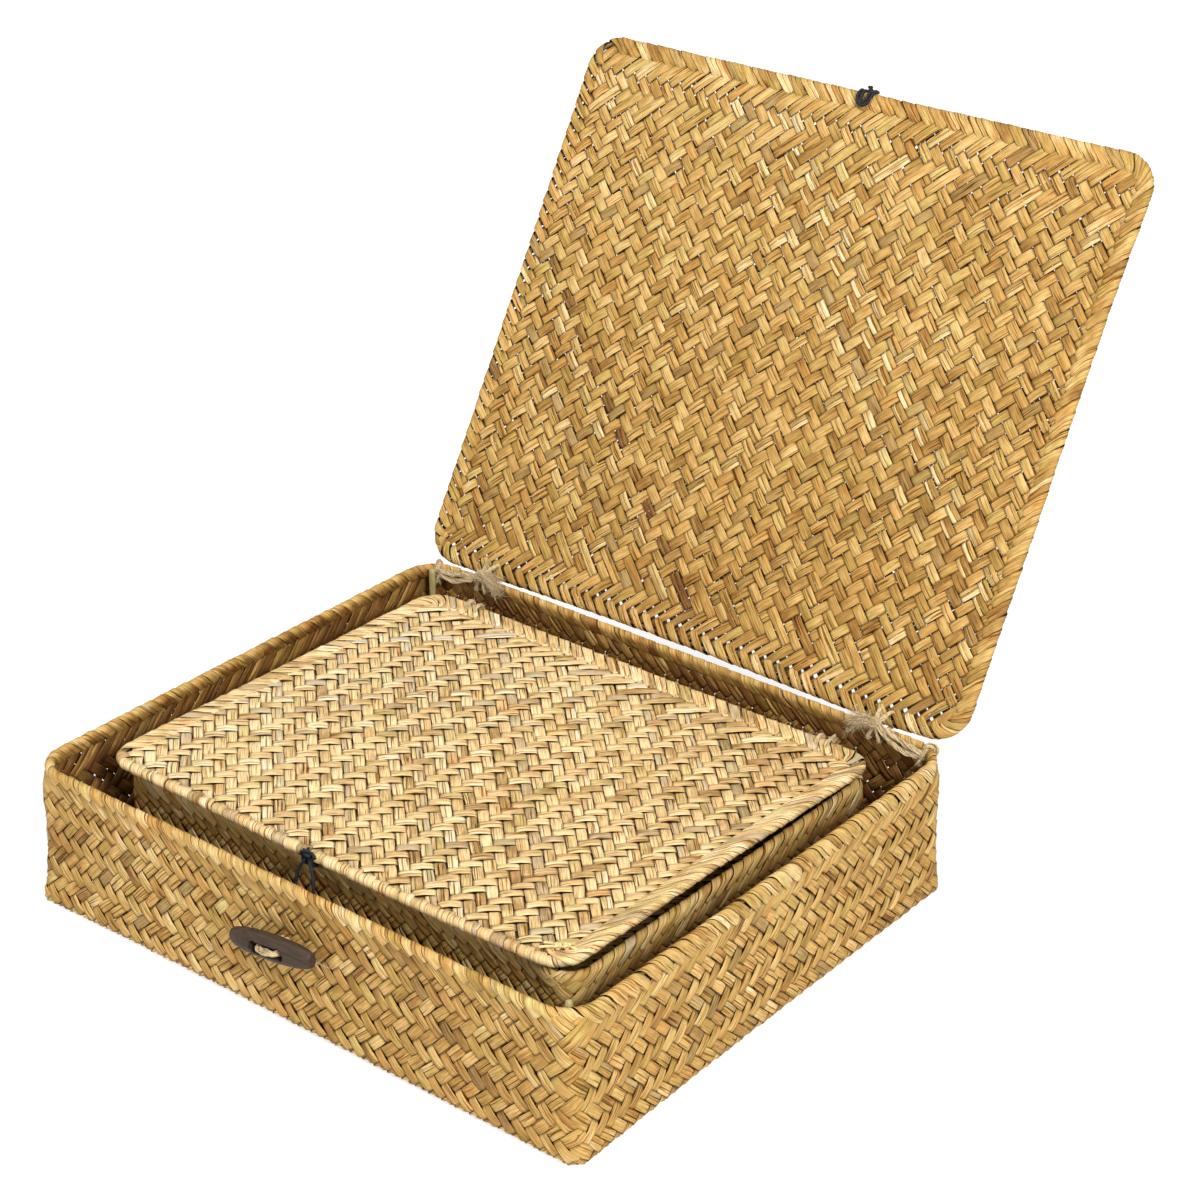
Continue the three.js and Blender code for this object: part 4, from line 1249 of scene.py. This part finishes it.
TURN_ANGLES = (110, 150, 205, 260, 290, 298, 290, 260, 205, 150, 110)
TURN_REACH_SHARES = (1, 1, 1, 1.08, 1.25, 1.35, 1.25, 1.08, 1, 1, 1)
TURN_SLIP_SHARES = (0.5, 0.9, 1, 1, 0.7, 0, -0.7, -1, -1, -0.9, -0.5)
TURN_BIGHT_SHARES = (0, 0, 0, 0.3, 0.8, 1, 0.8, 0.3, 0, 0, 0)


def make_loop_knot(box):
    """Cord whose bight lies on the lid's inner face, both parts over the hem to a knot, with two tails."""
    width, shift, depth = box.knot_slip
    slip = width * np.array(TURN_SLIP_SHARES) + shift
    bight = depth * np.array(TURN_BIGHT_SHARES)
    angle = np.radians(TURN_ANGLES)
    reach = (LID_EDGE + CORD_RADIUS + 0.15) * np.array(TURN_REACH_SHARES)
    y, z = reach * np.cos(angle), reach * np.sin(angle)
    rise = np.array(box.knot_rise)
    axis = np.array([box.knot_shift, -lid_length(box) + LID_EDGE, LID_LEVEL]) + rise
    corner = (HEM_RADIUS + SEAT + CORD_KNOT_RADIUS) * math.sqrt(0.5)
    knot = np.array([box.knot_shift, -lid_length(box) + HEM_RADIUS - corner, LID_LEVEL + corner]) + rise
    cords = Threads(box.seed + 500, 12)
    turns = (np.stack([slip, bight + y, z], -1), np.stack([0.45 * slip, 0.5 * bight + y, z], -1))
    for line in (*(axis + turn for turn in turns), knot_line(knot, 2.3, 1.25, 1.0, -45)):
        cords.add(smooth(from_lid(box, line), CURVE_STEP), *CORD)
    for tail in box.knot_tails:
        places = np.array([(0, 0, 0), tail[:3], tail[3:]])
        cords.laid(from_lid(box, knot + places), *CORD)
    dress(box, "lid", "loop_knot", "cord", cords.mesh(f"{box.prefix}_loop_knot_cord"))


# Strip knot, hoops and stakes


def make_strip_knot(box):
    """A strip tied off on top of the lid by its front corner: two small round turns and three flat ends."""
    strands = Threads(box.seed + 700, 8)
    for turn in KNOT_TURNS:
        strands.add(knot_line(np.array(turn), 1.2, 1.1, 0.7), KNOT_STRIP_RADIUS, tone=0.66)
    for points in KNOT_ENDS:
        strands.add(smooth(points, 0.8), KNOT_STRIP_RADIUS, tone=0.62)
    for run in strands.runs:
        run["points"] = open_lid(box, run["points"], np.zeros(run["points"].shape))[0]
    piece = strands.mesh(f"{box.prefix}_strip_knot")
    for key, value in (("half", 4.0), ("dive_shade", -0.6)):
        set_values(piece.data, key, np.full(len(piece.data.vertices), value))
    dress(box, "lid", "lid", "lid_weave", piece)


def make_hoops(box):
    """The rods inside the hems of the rim and the lid, their ends meeting at the back."""

    def on_rim(flat):
        return with_z(flat, box.height - HEM_RADIUS - rim_dip(box, flat)) + box.place

    def on_edge(flat):
        points = with_z(flat, np.zeros(len(flat)))
        return open_lid(box, points, np.zeros(points.shape))[0]

    hoops = (("rim", "box", wall_outline(box), on_rim), ("lid", "lid", lid_outline(box, LID_EDGE), on_edge))
    for name, body, outline, place in hoops:
        u = np.linspace(outline.length / 2 + 0.5, 1.5 * outline.length - 0.5, 260)
        rod = Threads(box.seed + 600, 8)
        rod.add(place(outline.place(u)[0]), HOOP_RADIUS)
        dress(box, body, f"{name}_hoop", "rod", rod.mesh(f"{box.prefix}_{name}_rod"), look="hoop")


def make_stakes(box):
    """The split bamboo in the four corners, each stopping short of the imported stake's head by its drop."""
    for corner, drop in zip(("front_left", "front_right", "back_left", "back_right"), box.stake_drops):
        node = frame["nodes"][f"{box.prefix}_corner_stake_{corner}"]
        turn, shift = np.array(node.matrix_world.to_3x3()), np.array(node.matrix_world.translation)
        places = (vertex_places(node.data) @ turn.T + shift) / MM
        low, high = places[:, 2].min(), places[:, 2].max()
        foot = places[places[:, 2] < low + 1].mean(0)
        head = places[places[:, 2] > high - 0.7].mean(0)
        head = head + (foot - head) * drop / (high - low)
        line = foot + (head - foot) * np.array([0, 0.02, 0.5, 0.97, 0.99, 1])[:, None]
        rod = Threads(box.seed + 640, 14)
        rod.add(line, STAKE_RADIUS * np.array([0.9, 1, 1, 1, 0.85, 0.55]))
        dress(box, "box", f"corner_stake_{corner}", "rod", rod.mesh(f"{box.prefix}_split_rod_{corner}"))


# Assembly


def make_basket(box):
    """Walls, base and hem. The hem's strips carry on the wall's strips that rise to the left."""
    walls = weave_wall(box)
    inset = HEM_RADIUS + WALL_TAPER + TUCK
    floor = Outline(box.width / 2 - inset, box.depth / 2 - inset, BASE_INNER_CORNER)
    base = weave_flat(box, "base", floor, on_base, False)
    rim = wall_outline(box)
    path = HemPath(HEM_RADIUS - 0.85, 8.0, 4.2, 1.3)
    drop = TOP_ROW_DROP + ROW_STEP / 4 - HEM_RADIUS - 8.0 - 2.5
    shift = -drop * rim_cells(rim)[1] / ROW_STEP
    anchor = 0.0 if box.anchored else path.crest
    wraps = BASKET_WRAPS[box.prefix]
    # Painted shade: the inside of the basket's hem is 0.46 darker in tone.
    hem = wrap_hem(box, "basket_hem", rim, path, on_basket_hem, wraps, 50, shift, anchor, 0.5, 0.16, -0.46)
    dress(box, "box", "basket", "weave", *walls, *base, hem)


def make_lid(box):
    """The field of the lid and its hem. The hem's strips are evenly spaced over its crest."""
    field = weave_flat(box, "lid", lid_outline(box, LID_FIELD_INSET), on_lid, True, *box.lid_columns)
    edge = lid_outline(box, LID_EDGE)
    path = HemPath(LID_ROLL, 5.2, box.lid_reach, 1.1)
    wraps = LID_WRAPS[box.prefix]
    hem = wrap_hem(box, "lid_hem", edge, path, on_lid_hem, wraps, 90, 0.0, path.crest, 0.4, 0.0, 0.0)
    # The inner lid takes the paler grass: painted light on its upward face.
    dress(box, "lid", "lid", "weave" if box.prefix == "outer" else "lid_weave", *field, hem)


make_camera()
LOOKS = {
    "weave": grass_material("seagrass", GOLDEN, 0.06),
    "lid_weave": grass_material("lit_pale_seagrass", LIT_PALE, 0.13),
    "hoop": wood_material("cane", (0.12, 0.075, 0.028), (0.24, 0.16, 0.065), 0.6, (900, 900, 40)),
    "rod": wood_material("bamboo", (0.25, 0.21, 0.07), (0.50, 0.43, 0.18), 0.45, (900, 900, 40)),
    "twine": thread_material("jute", (0.19, 0.115, 0.042), (0.88, 0.70, 0.41), 0.9, 0.1),
    "toggle": wood_material(
        "dark_wood", (0.025, 0.014, 0.008), (0.070, 0.045, 0.029), 0.50, (60, 900, 900), 0.2,
    ),
    "cord": thread_material("black_cord", (0.003, 0.003, 0.004), (0.017, 0.018, 0.021), 0.7),
}
for prefix, box in BOXES.items():
    box.prefix = prefix
    make_loop(box)
make_studio()
for part in frame["record"]["subparts"]:
    for material_slot in frame["nodes"][part["node"]].material_slots:
        material_slot.link = "OBJECT"
        material_slot.material = LOOKS[part["material_slot"]]
for box in BOXES.values():
    make_basket(box)
    make_lid(box)
    make_hoops(box)
    make_stakes(box)
    if box.prefix == "inner":
        make_strip_knot(box)
    make_ties(box)
    make_toggle(box)
    make_toggle_twine(box)
    make_loop_knot(box)
